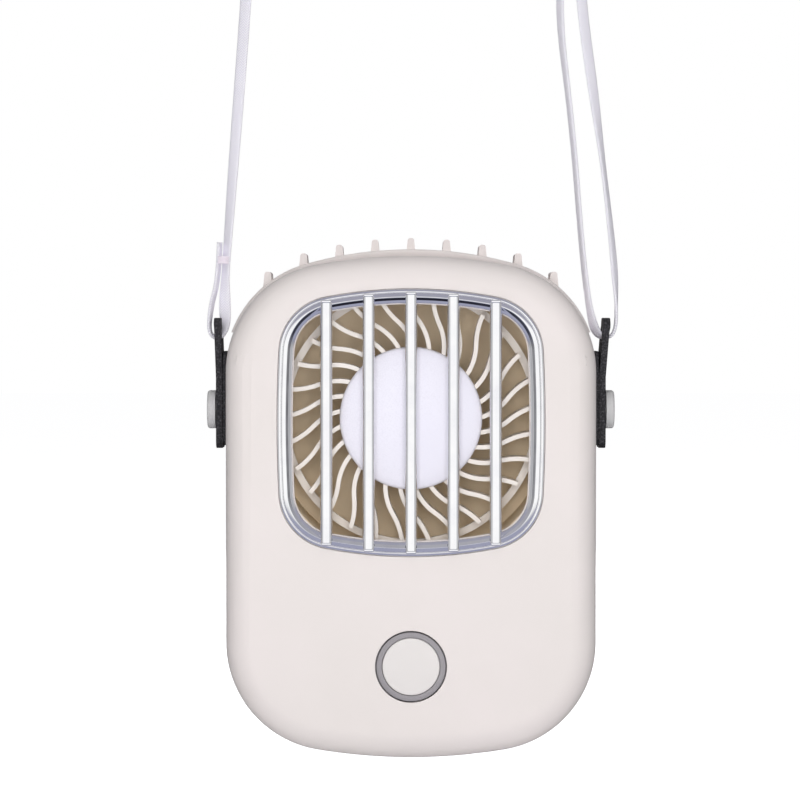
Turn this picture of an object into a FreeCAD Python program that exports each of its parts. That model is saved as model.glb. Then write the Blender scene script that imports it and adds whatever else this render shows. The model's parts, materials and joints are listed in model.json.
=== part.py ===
import FreeCAD, Part
import math
import os
import re
from collections import namedtuple

import Sketcher
from FreeCAD import Vector

# Neck fan: a palm-sized blower that hangs in front of the chest from a cord round the neck.
# Millimetres. +Z is up, the air inlet faces -Y and the origin is where the cord rests on the neck.
# Sketches are drawn from the fan axis, which runs along Y, and each piece is then lowered to it.
# The plane y = 0 holds the cord and the two strap studs.

# Driving dimensions: word, value, meaning.
SIZE_ROWS = [
    ("axis_drop", 134.0, "neck rest to fan axis"),
    ("fit_gap", 0.1, "clearance between pieces that sit together"),
    ("run_gap", 0.06, "radial clearance of a running fit"),
    # Housing
    ("body_half_width", 39.0, "fan axis to the side of the housing"),
    ("body_top", 34.1, "fan axis to the top of the shells"),
    ("body_bottom", 71.6, "fan axis down to the bottom of the shells"),
    ("top_crown", 110.0, "radius of the bowed top edge"),
    ("bottom_crown", 120.0, "radius of the bowed bottom edge"),
    ("top_corner", 23.0, "radius of the shoulders"),
    ("bottom_corner", 23.0, "radius of the lower corners"),
    ("front_reach", 19.0, "strap plane to the front face"),
    ("rear_reach", 20.9, "strap plane to the rear face"),
    ("split_reach", 6.0, "strap plane to the parting plane of the shells"),
    ("edge_round", 5.8, "rounding of the front edge"),
    ("rear_round", 7.5, "rounding of the rear edge"),
    ("wall", 2.2, "wall of the shells"),
    # Outlet strip on the top
    ("strip_front", 6.0, "strap plane forward to the front seam of the outlet strip"),
    ("strip_rear", 8.0, "strap plane back to the rear seam of the outlet strip"),
    ("strip_foot", 18.0, "fan axis up to the ends of the outlet strip"),
    ("strip_rise", 1.6, "how far the strip stands above the shells at the middle"),
    ("strip_side_rise", 0.7, "how far the strip stands out at the shoulders"),
    ("strip_crown", 82.0, "radius of the strip's bowed top"),
    ("strip_round", 0.6, "rounding of the strip's seams"),
    ("fin_count", 9, "fins on the outlet strip"),
    ("fin_margin", 8.52, "side of the housing to the middle of the outermost fin"),
    ("fin_rise", 2.4, "height of a fin above the strip"),
    ("fin_root", 2.1, "thickness of a fin at the strip"),
    ("fin_tip", 1.3, "thickness of a fin at its tip"),
    ("fin_round", 0.55, "rounding of a fin's tip"),
    ("fin_setback", 0.9, "fin ends to the strip's seams"),
    ("slot_land", 3.22, "strip left between two air slots"),
    ("slot_margin", 2.4, "air slot to the strip's seams"),
    # Chrome inlet grille
    ("bezel_inset", 2.5, "how far the duct reaches past the bezel"),
    ("bezel_drop", 0.8, "fan axis down to the middle of the grille"),
    ("bezel_crown", 93.0, "radius of the bezel's bowed top and bottom"),
    ("bezel_side_crown", 297.0, "radius of the bezel's bowed sides"),
    ("bezel_corner", 12.0, "radius of the bezel's corners"),
    ("bezel_width", 2.75, "width of the bezel"),
    ("bezel_seat", 1.2, "depth of the seat in the front shell"),
    ("bezel_proud", 0.35, "how far the bezel's outer lip stands out of the front face"),
    ("bead_inset", 1.1, "bezel edge to the raised inner bead"),
    ("bead_rise", 0.75, "height of the inner bead above the outer lip"),
    ("bead_round", 0.55, "rounding of the inner bead"),
    ("lip_round", 0.3, "rounding of the outer lip"),
    ("inlet_lip", 0.45, "how far the shell shows inside the bezel"),
    ("bar_count", 5, "bars across the inlet"),
    ("bar_margin", 10.3, "side of the bezel to the middle of the outermost bar"),
    ("bar_width", 2.2, "width of a bar"),
    ("bar_depth", 2.6, "front to back size of a bar"),
    ("bar_rise", 0.1, "how far the bars stand above the inner bead"),
    ("bar_round", 0.95, "rounding of a bar's front"),
    ("bar_end_inset", 0.95, "bezel edge to the ends of the bars"),
    # Impeller
    ("hub_radius", 15.0, "impeller hub"),
    ("hub_wall", 1.2, "wall of the impeller hub"),
    ("hub_setback", 5.8, "front face of the housing back to the hub"),
    ("hub_depth", 11.7, "front to back size of the hub"),
    ("cap_rim", 0.9, "height of the hub cap at its rim"),
    ("cap_rise", 1.9, "height of the hub cap at its middle"),
    ("cap_face", 12.6, "radius of the hub cap's face"),
    ("cap_shoulder", 1.55, "height of the hub cap where its face meets its sloping shoulder"),
    ("cap_round", 0.8, "rounding of the hub cap's rim"),
    ("blade_count", 29, "impeller blades"),
    ("blade_thickness", 0.9, "impeller blade"),
    ("blade_height", 9.6, "front to back size of a blade"),
    ("blade_setback", 0.3, "front of the hub back to the front of the blades"),
    ("blade_root_angle", 16.0, "heading of a blade at the hub, from the radius"),
    ("blade_mid_angle", 52.0, "heading of a blade at the middle of its bend"),
    ("blade_tip_angle", 28.0, "heading of a blade at its tip"),
    ("blade_tip_gap", 5.3, "duct wall in to the tip of a blade, along the blade's starting radius"),
    ("bend_share", 0.54, "share of a blade's reach in its inner bend"),
    ("rim_bite", 0.4, "how far the blade tips reach into the rim ring behind them"),
    ("rim_width", 1.5, "width of the rim ring"),
    ("rim_depth", 1.8, "front to back size of the rim ring"),
    # Motor
    ("cup_wall", 0.6, "wall of the steel rotor cup"),
    ("cup_depth", 9.6, "front to back size of the rotor cup"),
    ("cup_collar", 2.2, "radius of the collar that grips the shaft"),
    ("cup_collar_depth", 0.5, "depth of that collar"),
    ("magnet_wall", 1.5, "thickness of the magnet ring"),
    ("magnet_depth", 8.0, "front to back size of the magnet ring"),
    ("air_gap", 0.5, "gap between magnet and stator"),
    ("stator_depth", 5.2, "front to back size of the stator stack"),
    ("stator_setback", 2.2, "rotor cup floor back to the stator stack"),
    ("stator_hub", 5.4, "outer radius of the stator's hub"),
    ("tooth_count", 9, "stator teeth"),
    ("tooth_width", 1.8, "width of a stator tooth"),
    ("shoe_depth", 0.9, "thickness of a tooth's shoe"),
    ("shoe_width", 6.0, "width of a tooth's shoe"),
    ("coil_overhang", 1.0, "how far a coil stands out past the stack"),
    ("coil_thickness", 0.9, "thickness of a coil beside its tooth"),
    ("tube_radius", 3.5, "outer radius of the bearing tube"),
    ("tube_wall", 0.9, "wall of the bearing tube"),
    ("bearing_length", 3.4, "length of a bearing"),
    ("shaft_radius", 0.75, "motor shaft"),
    ("motor_board_radius", 10.0, "outer radius of the motor's circuit board"),
    ("motor_board_thickness", 0.8, "thickness of the motor's circuit board"),
    ("motor_board_gap", 0.4, "coils back to the motor's circuit board"),
    # Air duct behind the impeller
    ("duct_side_gap", 4.9, "side wall of the housing in to the duct"),
    ("duct_top_room", 1.4, "top wall of the housing down to the duct's circle"),
    ("duct_wall", 1.4, "wall of the duct"),
    ("duct_floor", 1.6, "thickness of the duct's back plate"),
    ("duct_foot", 16.6, "fan axis up to the top of the duct's side walls"),
    ("duct_top_gap", 4.2, "top of the shells down to the top of the back plate"),
    ("boss_wall", 1.6, "wall of the boss round the bearing tube"),
    ("boss_gap", 1.7, "motor's circuit board back to that boss"),
    ("lead_hole", 2.2, "radius of the hole for the motor's lead"),
    ("lead_drop", 7.5, "fan axis down to the motor's lead"),
    ("prop_radius", 1.8, "posts that hold the duct from behind"),
    ("prop_inset", 7.9, "side of the duct in to those posts"),
    ("prop_height", 16.0, "fan axis to those posts, up and down"),
    # Button and electronics
    ("button_shift", 1.25, "button below the middle of the room under the duct"),
    ("ring_radius", 7.45, "outer radius of the button's ring"),
    ("ring_bore", 6.1, "inner radius of the button's ring"),
    ("ring_proud", 0.12, "how far the ring stands out of the front face"),
    ("ring_flange", 8.6, "radius of the ring's flange behind the wall"),
    ("ring_flange_depth", 0.8, "thickness of that flange"),
    ("button_proud", 0.25, "how far the button's middle stands out of the front face"),
    ("button_edge", 0.25, "how far the button's edge lies behind its middle"),
    ("button_flange", 7.0, "radius of the flange that keeps the button in"),
    ("button_flange_depth", 0.8, "thickness of that flange"),
    ("button_play", 0.7, "room for the button to travel"),
    ("stem_radius", 1.5, "stem behind the button"),
    ("board_setback", 8.8, "front wall back to the main board"),
    ("board_thickness", 1.2, "thickness of the main board"),
    ("board_half_width", 17.0, "half the width of the main board"),
    ("board_drop", 7.1, "duct down to the top of the main board"),
    ("board_rise", 3.0, "bottom wall of the housing up to the main board"),
    ("post_radius", 2.0, "posts under the main board"),
    ("post_inset", 3.0, "main board edges to the posts"),
    ("switch_width", 6.0, "side of the switch's case"),
    ("switch_height", 3.4, "height of the switch's case"),
    ("plunger_radius", 1.7, "switch plunger"),
    ("plunger_rise", 1.0, "plunger above the switch's case"),
    ("plunger_depth", 1.2, "plunger inside the switch's case"),
    ("port_width", 8.94, "width of the charging socket"),
    ("port_height", 3.2, "height of the charging socket"),
    ("port_wall", 0.3, "wall of the charging socket"),
    ("port_length", 7.3, "length of the charging socket"),
    ("port_recess", 0.4, "bottom of the housing up to the socket's mouth"),
    ("port_tongue", 0.7, "thickness of the contact tongue"),
    ("cell_side_gap", 3.8, "lower screw bosses in to the ribs beside the battery"),
    ("cell_drop", 4.1, "duct down to the top of the battery"),
    ("cell_rise", 7.2, "bottom wall of the housing up to the battery"),
    ("cell_thickness", 8.6, "thickness of the battery"),
    ("cell_round", 1.6, "rounding of the battery's edges"),
    ("rib_wall", 1.2, "ribs that hold the battery"),
    ("rib_height", 4.0, "height of those ribs"),
    ("rib_length", 16.0, "length of those ribs"),
    # Housing screws
    ("screw_radius", 1.0, "screw shank"),
    ("screw_head", 1.9, "radius of a screw head"),
    ("screw_head_height", 1.5, "height of a screw head"),
    ("screw_length", 13.0, "length of a screw below its head"),
    ("screw_sink", 6.0, "rear face to the seat of a screw head"),
    ("screw_boss", 2.4, "radius of a screw boss"),
    ("upper_screw_inset", 4.7, "side of the housing in to the upper screws"),
    ("upper_screw_height", 12.0, "fan axis up to the upper screws"),
    ("lower_screw_inset", 10.5, "side of the housing in to the lower screws"),
    ("lower_screw_rise", 18.6, "bottom of the housing up to the lower screws"),
    # Straps
    ("stud_height", 1.5, "fan axis up to the strap studs"),
    ("stud_radius", 1.9, "shank of a strap stud"),
    ("stud_head", 4.1, "radius of a stud's head"),
    ("stud_head_height", 1.75, "height of a stud's head"),
    ("stud_head_round", 0.6, "rounding of a stud's head"),
    ("strap_gap", 0.25, "gap between housing and strap"),
    ("pad_thickness", 0.85, "leather backing pad"),
    ("pad_top", 12.5, "stud up to the top of the pad"),
    ("pad_bottom", 7.6, "stud down to the bottom of the pad"),
    ("tab_thickness", 1.45, "leather strap tab"),
    ("tab_half_width", 5.0, "half the width of tab and pad"),
    ("tab_top", 19.6, "stud up to the top of the tab"),
    ("tab_bottom", 8.2, "stud down to the bottom of the tab"),
    ("tab_bend", 7.0, "stud up to where the tab leaves the pad"),
    ("tab_lean", 1.0, "how far the tab's top leans out"),
    ("tab_round", 2.0, "rounding of the tab's corners"),
    ("eyelet_height", 15.8, "stud up to the cord slot"),
    ("eyelet_width", 3.8, "width of the cord slot"),
    ("eyelet_depth", 2.8, "height of the cord slot"),
    ("nut_radius", 3.6, "nut behind a stud"),
    ("nut_height", 2.4, "height of that nut"),
    # Cord and wires
    ("cord_radius", 0.8, "neck cord, as a round cord of the tape's section"),
    ("clamp_pitch", 2.0, "spacing of the two strands in a cord clamp"),
    ("clamp_gap", 0.2, "clearance round the strands in a cord clamp"),
    ("clamp_height", 2.4, "height of a cord clamp"),
    ("clamp_wall", 0.45, "wall of a cord clamp"),
    ("wire_radius", 0.7, "sleeved wires inside the housing"),
    ("lead_reach", 3.0, "duct back to the motor's lead behind it"),
    ("lead_rise", 3.2, "battery up to its lead's bend"),
    ("lead_landing", 4.0, "straight end of a lead at the main board"),
    ("cell_lead_offset", 9.0, "middle to the battery's lead"),
]
SIZES = {word: value for word, value, meaning in SIZE_ROWS}

# Lengths closer than this count as equal.
TINY = 1e-4
# How much of the shorter run beside a bend of a cord its arc takes up.
ARC_SHARE = 0.45

doc = FreeCAD.newDocument("NeckFan")
sheet = doc.addObject("Spreadsheet::Sheet", "Sizes")
for row, (word, value, meaning) in enumerate(SIZE_ROWS, 1):
    sheet.set(f"A{row}", meaning)
    sheet.set(f"B{row}", str(value))
    sheet.setAlias(f"B{row}", word)
doc.recompute()

WORD = re.compile(r"[a-z_]+")
pieces = []


def tied(formula):
    """The formula with each size word pointing at its cell."""
    return WORD.sub(lambda m: f"Sizes.{m.group()}" if m.group() in SIZES else m.group(), str(formula))


def amount(formula):
    """The number that a formula gives with the sheet's present values."""
    return float(sheet.evalExpression(tied(formula)))


def count(word):
    return int(amount(word))


# Bodies, sketches and features


def new_body(label):
    """An empty body whose sketches are drawn from the fan axis."""
    body = doc.addObject("PartDesign::Body", label)
    body.Label = label
    body.setExpression("Placement.Base.z", tied("-axis_drop"))
    return body


def finish(body):
    pieces.append(body)
    return body


def sketch_on(body, role, offset):
    """A sketch on one of the body's origin planes, moved along the plane's normal."""
    plane = next(f for f in body.Origin.OriginFeatures if f.Role == role)
    sketch = body.newObject("Sketcher::SketchObject", f"{body.Name}_sketch")
    sketch.AttachmentSupport = [(plane, "")]
    sketch.MapMode = "FlatFace"
    sketch.setExpression("AttachmentOffset.Base.z", tied(offset))
    return sketch


def bind(sketch, constraint, formula):
    index = sketch.addConstraint(constraint)
    sketch.setExpression(f"Constraints[{index}]", tied(formula))


def place_point(sketch, geometry, position, across, up):
    bind(sketch, Sketcher.Constraint("DistanceX", -1, 1, geometry, position, amount(across)), across)
    bind(sketch, Sketcher.Constraint("DistanceY", -1, 1, geometry, position, amount(up)), up)


def draw_circle(sketch, across, up, radius):
    centre = Vector(amount(across), amount(up), 0)
    circle = sketch.addGeometry(Part.Circle(centre, Vector(0, 0, 1), amount(radius)), False)
    bind(sketch, Sketcher.Constraint("Radius", circle, amount(radius)), radius)
    place_point(sketch, circle, 3, across, up)


def arc_between(start, end, radius, turns_left):
    """The short arc from start to end, and whether its own direction is reversed."""
    chord = end - start
    half = chord.Length / 2
    rise = math.sqrt(max(radius ** 2 - half ** 2, 0))
    left = Vector(-chord.y, chord.x, 0).normalize()
    centre = (start + end) * 0.5 + left * (rise if turns_left else -rise)
    first, last = (start, end) if turns_left else (end, start)
    circle = Part.Circle(centre, Vector(0, 0, 1), radius)
    angles = [math.atan2(p.y - centre.y, p.x - centre.x) for p in (first, last)]
    if angles[1] < angles[0]:
        angles[1] += 2 * math.pi
    return Part.ArcOfCircle(circle, *angles), not turns_left


def draw_profile(sketch, corners):
    """A closed loop. A corner is (across, up), or with an arc on to the next corner,
    (across, up, "left" or "right", radius)."""
    points = [Vector(amount(c[0]), amount(c[1]), 0) for c in corners]
    ends = []
    for index, corner in enumerate(corners):
        start, end = points[index], points[(index + 1) % len(points)]
        if len(corner) == 2:
            edge = sketch.addGeometry(Part.LineSegment(start, end), False)
            ends.append((edge, 1, 2))
            continue
        arc, reverse = arc_between(start, end, amount(corner[3]), corner[2] == "left")
        edge = sketch.addGeometry(arc, False)
        ends.append((edge, 2, 1) if reverse else (edge, 1, 2))
    for index, (edge, start, end) in enumerate(ends):
        next_edge, next_start, next_end = ends[(index + 1) % len(ends)]
        sketch.addConstraint(Sketcher.Constraint("Coincident", edge, end, next_edge, next_start))
    for corner, (edge, start, end) in zip(corners, ends):
        place_point(sketch, edge, start, corner[0], corner[1])
        if len(corner) > 2:
            bind(sketch, Sketcher.Constraint("Radius", edge, amount(corner[3])), corner[3])


def draw_box(sketch, left, low, right, high):
    draw_profile(sketch, [(left, low), (right, low), (right, high), (left, high)])


def draw_pill(sketch, across, up, width, height):
    """A slot with round ends, wider than it is high."""
    reach = f"(({width}) - ({height})) / 2"
    left, right = f"{across} - {reach}", f"{across} + {reach}"
    low, high = f"{up} - ({height}) / 2", f"{up} + ({height}) / 2"
    end = f"({height}) / 2"
    draw_profile(sketch, [
        (left, low),
        (right, low, "left", end),
        (f"{right} + {end}", up, "left", end),
        (right, high),
        (left, high, "left", end),
        (f"{left} - {end}", up, "left", end),
    ])


Outline = namedtuple(
    "Outline", "half_width top bottom top_crown bottom_crown top_corner bottom_corner side_crown")


def grown(outline, by):
    """The outline with every edge moved outwards by the same distance."""
    names = dict(outline._asdict())
    for name, formula in names.items():
        if formula is not None:
            names[name] = f"({formula} - ({by}))" if name == "bottom" else f"({formula} + ({by}))"
    return Outline(**names)


def crossing(first, first_radius, second, second_radius, sign):
    """The upper (sign 1) or lower (sign -1) point where two circles about these centres cross."""
    line = second - first
    share = (line.Length ** 2 + first_radius ** 2 - second_radius ** 2) / (2 * line.Length)
    line.normalize()
    aside = Vector(-line.y, line.x, 0) * math.sqrt(first_radius ** 2 - share ** 2)
    foot = first + line * share
    return max((foot + aside, foot - aside), key=lambda point: sign * point.y)


def corner_centre(outline, upper):
    """Where the rounding of a right-hand corner has its centre."""
    crown = amount(outline.top_crown if upper else outline.bottom_crown)
    corner = amount(outline.top_corner if upper else outline.bottom_corner)
    sign = 1 if upper else -1
    crown_up = amount(outline.top) - crown if upper else amount(outline.bottom) + crown
    half = amount(outline.half_width)
    if outline.side_crown is None:
        across = half - corner
        return Vector(across, crown_up + sign * math.sqrt((crown - corner) ** 2 - across ** 2), 0)
    side = amount(outline.side_crown)
    side_centre = Vector(half - side, middle_height(outline), 0)
    return crossing(side_centre, side - corner, Vector(0, crown_up, 0), crown - corner, sign)


def middle_height(outline):
    return (amount(outline.top) + amount(outline.bottom)) / 2


def draw_outline(sketch, outline):
    """A rounded shield: bowed top and bottom, straight or bowed sides, four round corners."""
    half, top, bottom = amount(outline.half_width), amount(outline.top), amount(outline.bottom)
    centres = {
        "top": Vector(0, top - amount(outline.top_crown), 0),
        "bottom": Vector(0, bottom + amount(outline.bottom_crown), 0),
    }
    upper, lower = corner_centre(outline, True), corner_centre(outline, False)

    def joint(centre, corner, radius):
        direction = (corner - centre).normalize()
        return corner + direction * radius

    top_radius, bottom_radius = amount(outline.top_corner), amount(outline.bottom_corner)
    top_joint = joint(centres["top"], upper, top_radius)
    bottom_joint = joint(centres["bottom"], lower, bottom_radius)
    if outline.side_crown is None:
        upper_side, lower_side = Vector(half, upper.y, 0), Vector(half, lower.y, 0)
    else:
        side_centre = Vector(half - amount(outline.side_crown), middle_height(outline), 0)
        upper_side = joint(side_centre, upper, top_radius)
        lower_side = joint(side_centre, lower, bottom_radius)

    def mirrored(point):
        return Vector(-point.x, point.y, 0)

    loop = [
        (lower_side, upper_side, outline.side_crown),
        (upper_side, top_joint, outline.top_corner),
        (top_joint, mirrored(top_joint), outline.top_crown),
        (mirrored(top_joint), mirrored(upper_side), outline.top_corner),
        (mirrored(upper_side), mirrored(lower_side), outline.side_crown),
        (mirrored(lower_side), mirrored(bottom_joint), outline.bottom_corner),
        (mirrored(bottom_joint), bottom_joint, outline.bottom_crown),
        (bottom_joint, lower_side, outline.bottom_corner),
    ]
    edges = []
    for start, end, radius in loop:
        if radius is None:
            edges.append(sketch.addGeometry(Part.LineSegment(start, end), False))
        else:
            edges.append(sketch.addGeometry(arc_between(start, end, amount(radius), True)[0], False))
    for edge, following in zip(edges, edges[1:] + edges[:1]):
        sketch.addConstraint(Sketcher.Constraint("Tangent", edge, 2, following, 1))
    for edge, (start, end, radius) in zip(edges, loop):
        if radius is not None:
            bind(sketch, Sketcher.Constraint("Radius", edge, amount(radius)), radius)
    for edge, level in ((edges[2], f"{outline.top} - {outline.top_crown}"),
                        (edges[6], f"{outline.bottom} + {outline.bottom_crown}")):
        sketch.addConstraint(Sketcher.Constraint("PointOnObject", edge, 3, -2))
        bind(sketch, Sketcher.Constraint("DistanceY", -1, 1, edge, 3, amount(level)), level)
    for edge, sign in ((edges[0], ""), (edges[4], "-")):
        if outline.side_crown is None:
            sketch.addConstraint(Sketcher.Constraint("Vertical", edge))
            across = f"{sign}({outline.half_width})"
            bind(sketch, Sketcher.Constraint("DistanceX", -1, 1, edge, 1, amount(across)), across)
        else:
            across = f"{sign}({outline.half_width} - {outline.side_crown})"
            place_point(sketch, edge, 3, across, f"({outline.top} + {outline.bottom}) / 2")


def add_feature(body, kind, sketch, **settings):
    feature = body.newObject(f"PartDesign::{kind}", f"{body.Name}_{kind.lower()}")
    feature.Profile = sketch
    for name, setting in settings.items():
        if isinstance(setting, str):
            feature.setExpression(name, tied(setting))
        else:
            setattr(feature, name, setting)
    return feature


def removed(body, before):
    """A cut has to take something away."""
    doc.recompute()
    if not body.Shape.Volume < before - TINY:
        raise RuntimeError(f"{body.Label}: a cut took nothing away")


def solid_volume(body):
    doc.recompute()
    return body.Shape.Volume


def slab(body, draw, front, rear):
    """Material between two depths, where draw(sketch) gives the shape seen from the front."""
    sketch = sketch_on(body, "XZ_Plane", f"-({front})")
    draw(sketch)
    return add_feature(body, "Pad", sketch, Length=f"({rear}) - ({front})", Reversed=True)


def cut_slab(body, draw, front, rear):
    before = solid_volume(body)
    sketch = sketch_on(body, "XZ_Plane", f"-({front})")
    draw(sketch)
    feature = add_feature(body, "Pocket", sketch, Length=f"({rear}) - ({front})")
    removed(body, before)
    return feature


def block_across(body, draw, left, right):
    """Material between two places across, where draw(sketch) uses depth and height."""
    sketch = sketch_on(body, "YZ_Plane", left)
    draw(sketch)
    return add_feature(body, "Pad", sketch, Length=f"({right}) - ({left})")


def cut_across(body, draw, left, right):
    before = solid_volume(body)
    sketch = sketch_on(body, "YZ_Plane", left)
    draw(sketch)
    feature = add_feature(body, "Pocket", sketch, Length=f"({right}) - ({left})", Reversed=True)
    removed(body, before)
    return feature


def column(body, draw, low, high):
    """Material between two heights, where draw(sketch) gives the shape seen from above."""
    sketch = sketch_on(body, "XY_Plane", low)
    draw(sketch)
    return add_feature(body, "Pad", sketch, Length=f"({high}) - ({low})")


def cut_column(body, draw, low, high):
    before = solid_volume(body)
    sketch = sketch_on(body, "XY_Plane", low)
    draw(sketch)
    feature = add_feature(body, "Pocket", sketch, Length=f"({high}) - ({low})", Reversed=True)
    removed(body, before)
    return feature


def turned(body, corners, axis="V_Axis"):
    """A turned piece. The profile has the distance across and the depth."""
    sketch = sketch_on(body, "XY_Plane", "0")
    draw_profile(sketch, corners)
    return add_feature(body, "Revolution", sketch, ReferenceAxis=(sketch, [axis]), Angle=360.0)


def turned_ring(body, inner, outer, front, rear):
    return turned(body, [(inner, front), (outer, front), (outer, rear), (inner, rear)])


def round_edges(body, radius, chosen):
    doc.recompute()
    base = body.Tip
    names = [f"Edge{i}" for i, edge in enumerate(base.Shape.Edges, 1) if chosen(edge)]
    if not names:
        raise RuntimeError(f"{body.Label}: no edge to round")
    feature = body.newObject("PartDesign::Fillet", f"{body.Name}_fillet")
    feature.Base = (base, names)
    feature.setExpression("Radius", tied(radius))
    return feature


def at_depth(formula):
    """Chooses the edges that lie at one depth."""
    depth = amount(formula)
    return lambda edge: max(abs(edge.BoundBox.YMin - depth), abs(edge.BoundBox.YMax - depth)) < TINY


def runs_back(edge):
    """Chooses the edges that run from front to rear."""
    return edge.BoundBox.YLength > 1 and max(edge.BoundBox.XLength, edge.BoundBox.ZLength) < TINY


def runs_across(edge):
    """Chooses the level edges that run from left to right."""
    return edge.BoundBox.XLength > TINY and max(edge.BoundBox.YLength, edge.BoundBox.ZLength) < TINY


def along(outline, depth):
    """Chooses the curved edges that follow an outline at one depth."""
    curves = [outline.top_crown, outline.top_corner, outline.side_crown]
    radii = [amount(curve) for curve in curves if curve is not None]

    def chosen(edge):
        radius = getattr(edge.Curve, "Radius", None)
        return at_depth(depth)(edge) and radius is not None and min(abs(radius - r) for r in radii) < TINY

    return chosen


def polar(body, feature, times):
    """Repeats a feature round the fan axis."""
    pattern = body.newObject("PartDesign::PolarPattern", f"{body.Name}_pattern")
    pattern.Originals = [feature]
    axis = next(f for f in body.Origin.OriginFeatures if f.Role == "Y_Axis")
    pattern.Axis = (axis, [""])
    pattern.Angle = 360.0
    pattern.setExpression("Occurrences", tied(times))
    body.Tip = pattern
    return pattern


def spread(number_word):
    """Whole or half steps either side of the middle, from left to right."""
    number = count(number_word)
    return [index - (number - 1) / 2 for index in range(number)]


# Depths shared by the pieces, from front to rear

FRONT_FACE = "-front_reach"
FRONT_INSIDE = "(-front_reach + wall)"
REAR_INSIDE = "(rear_reach - wall)"
REAR_FACE = "rear_reach"
SPLIT = "split_reach"
DUCT_BACK = "(split_reach - fit_gap)"
DUCT_FLOOR = f"({DUCT_BACK} - duct_floor)"
BEZEL_BACK = "(-front_reach + bezel_seat)"
BEZEL_LIP = "(-front_reach - bezel_proud)"
BEAD_FRONT = f"({BEZEL_LIP} - bead_rise)"
BAR_FRONT = f"({BEAD_FRONT} - bar_rise)"
HUB_FRONT = "(-front_reach + hub_setback)"
CUP_FRONT = f"({HUB_FRONT} + hub_wall)"
CUP_FLOOR = f"({CUP_FRONT} + cup_wall)"
STACK_FRONT = f"({CUP_FLOOR} + stator_setback)"
STACK_REAR = f"({STACK_FRONT} + stator_depth)"
COIL_FRONT = f"({STACK_FRONT} - coil_overhang)"
COIL_REAR = f"({STACK_REAR} + coil_overhang)"
MOTOR_BOARD_FRONT = f"({COIL_REAR} + motor_board_gap)"
MOTOR_BOARD_REAR = f"({MOTOR_BOARD_FRONT} + motor_board_thickness)"
TUBE_FRONT = f"({CUP_FLOOR} + cup_collar_depth + fit_gap)"
RING_BACK = f"({FRONT_INSIDE} + ring_flange_depth)"
BUTTON_STOP = f"({RING_BACK} + fit_gap)"
BUTTON_BACK = f"({BUTTON_STOP} + button_flange_depth)"
BOARD_FRONT = f"({FRONT_INSIDE} + board_setback)"
BOARD_REAR = f"({BOARD_FRONT} + board_thickness)"
SWITCH_FRONT = f"({BOARD_FRONT} - switch_height)"
PLUNGER_FRONT = f"({SWITCH_FRONT} - plunger_rise)"
PORT_DEPTH = f"({BOARD_REAR} + port_height / 2)"
SCREW_SEAT = "(rear_reach - screw_sink)"
CELL_FRONT = f"({REAR_INSIDE} - cell_thickness)"

# Room inside the housing, seen from the front

DUCT_RADIUS = ("min(body_half_width - wall - duct_side_gap - duct_wall; "
               "body_top - wall - duct_top_room)")
DUCT_OUTER = f"({DUCT_RADIUS} + duct_wall)"
INSIDE_BOTTOM = "(body_bottom - wall)"
UPPER_SPREAD = "(body_half_width - upper_screw_inset)"
LOWER_SPREAD = "(body_half_width - lower_screw_inset)"
BUTTON_DROP = f"(({DUCT_OUTER} + {INSIDE_BOTTOM}) / 2 + button_shift)"
BOARD_TOP = f"({DUCT_OUTER} + board_drop)"
BOARD_BOTTOM = f"({INSIDE_BOTTOM} - board_rise)"
CELL_TOP = f"({DUCT_OUTER} + cell_drop)"
CELL_BOTTOM = f"({INSIDE_BOTTOM} - cell_rise)"
CELL_HALF = f"({LOWER_SPREAD} - screw_boss - cell_side_gap - rib_wall - fit_gap)"
BEZEL_HALF = f"({DUCT_RADIUS} - bezel_inset)"
BAR_PITCH = f"(2 * ({BEZEL_HALF} - bar_margin) / (bar_count - 1))"
FIN_PITCH = "(2 * (body_half_width - fin_margin) / (fin_count - 1))"

# Radii of the motor, from the hub inwards

HUB_BORE = "(hub_radius - hub_wall)"
CUP_OUTER = f"({HUB_BORE} - fit_gap / 2)"
CUP_INNER = f"({CUP_OUTER} - cup_wall)"
MAGNET_OUTER = f"({CUP_INNER} - fit_gap / 2)"
MAGNET_INNER = f"({MAGNET_OUTER} - magnet_wall)"
STATOR_OUTER = f"({MAGNET_INNER} - air_gap)"
TUBE_BORE = "(tube_radius - tube_wall)"
SHAFT_BORE = "(shaft_radius + run_gap)"

# Outlines seen from the front

BODY = Outline("body_half_width", "body_top", "(-body_bottom)", "top_crown", "bottom_crown",
               "top_corner", "bottom_corner", None)
STRIP = Outline("(body_half_width + strip_side_rise)", "(body_top + strip_rise)", "(-body_bottom)",
                "strip_crown", "bottom_crown", "(top_corner + strip_side_rise)", "bottom_corner", None)
BEZEL = Outline(BEZEL_HALF, f"({BEZEL_HALF} - bezel_drop)", f"(-{BEZEL_HALF} - bezel_drop)",
                "bezel_crown", "bezel_crown", "bezel_corner", "bezel_corner", "bezel_side_crown")
INNER = grown(BODY, "-wall")
INLET = grown(BEZEL, "-bezel_width - inlet_lip")

SCREW_PLACES = [(f"{sign}{across}", up)
                for across, up in ((UPPER_SPREAD, "upper_screw_height"),
                                   (LOWER_SPREAD, "-(body_bottom - lower_screw_rise)"))
                for sign in ("-", "")]
PROP_PLACES = [(f"{sign}({DUCT_OUTER} - prop_inset)", f"{level}prop_height")
               for sign in ("-", "")
               for level in ("-", "")]
POST_PLACES = [(f"{sign}(board_half_width - post_inset)", level)
               for sign in ("-", "")
               for level in (f"-({BOARD_TOP} + post_inset)", f"-({BOARD_BOTTOM} - post_inset)")]


def outlined(*outlines):
    def draw(sketch):
        for outline in outlines:
            draw_outline(sketch, outline)
    return draw


def circles(places, radius):
    def draw(sketch):
        for across, up in places:
            draw_circle(sketch, across, up, radius)
    return draw


def ring_shape(across, up, outer, inner):
    def draw(sketch):
        draw_circle(sketch, across, up, outer)
        draw_circle(sketch, across, up, inner)
    return draw


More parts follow.
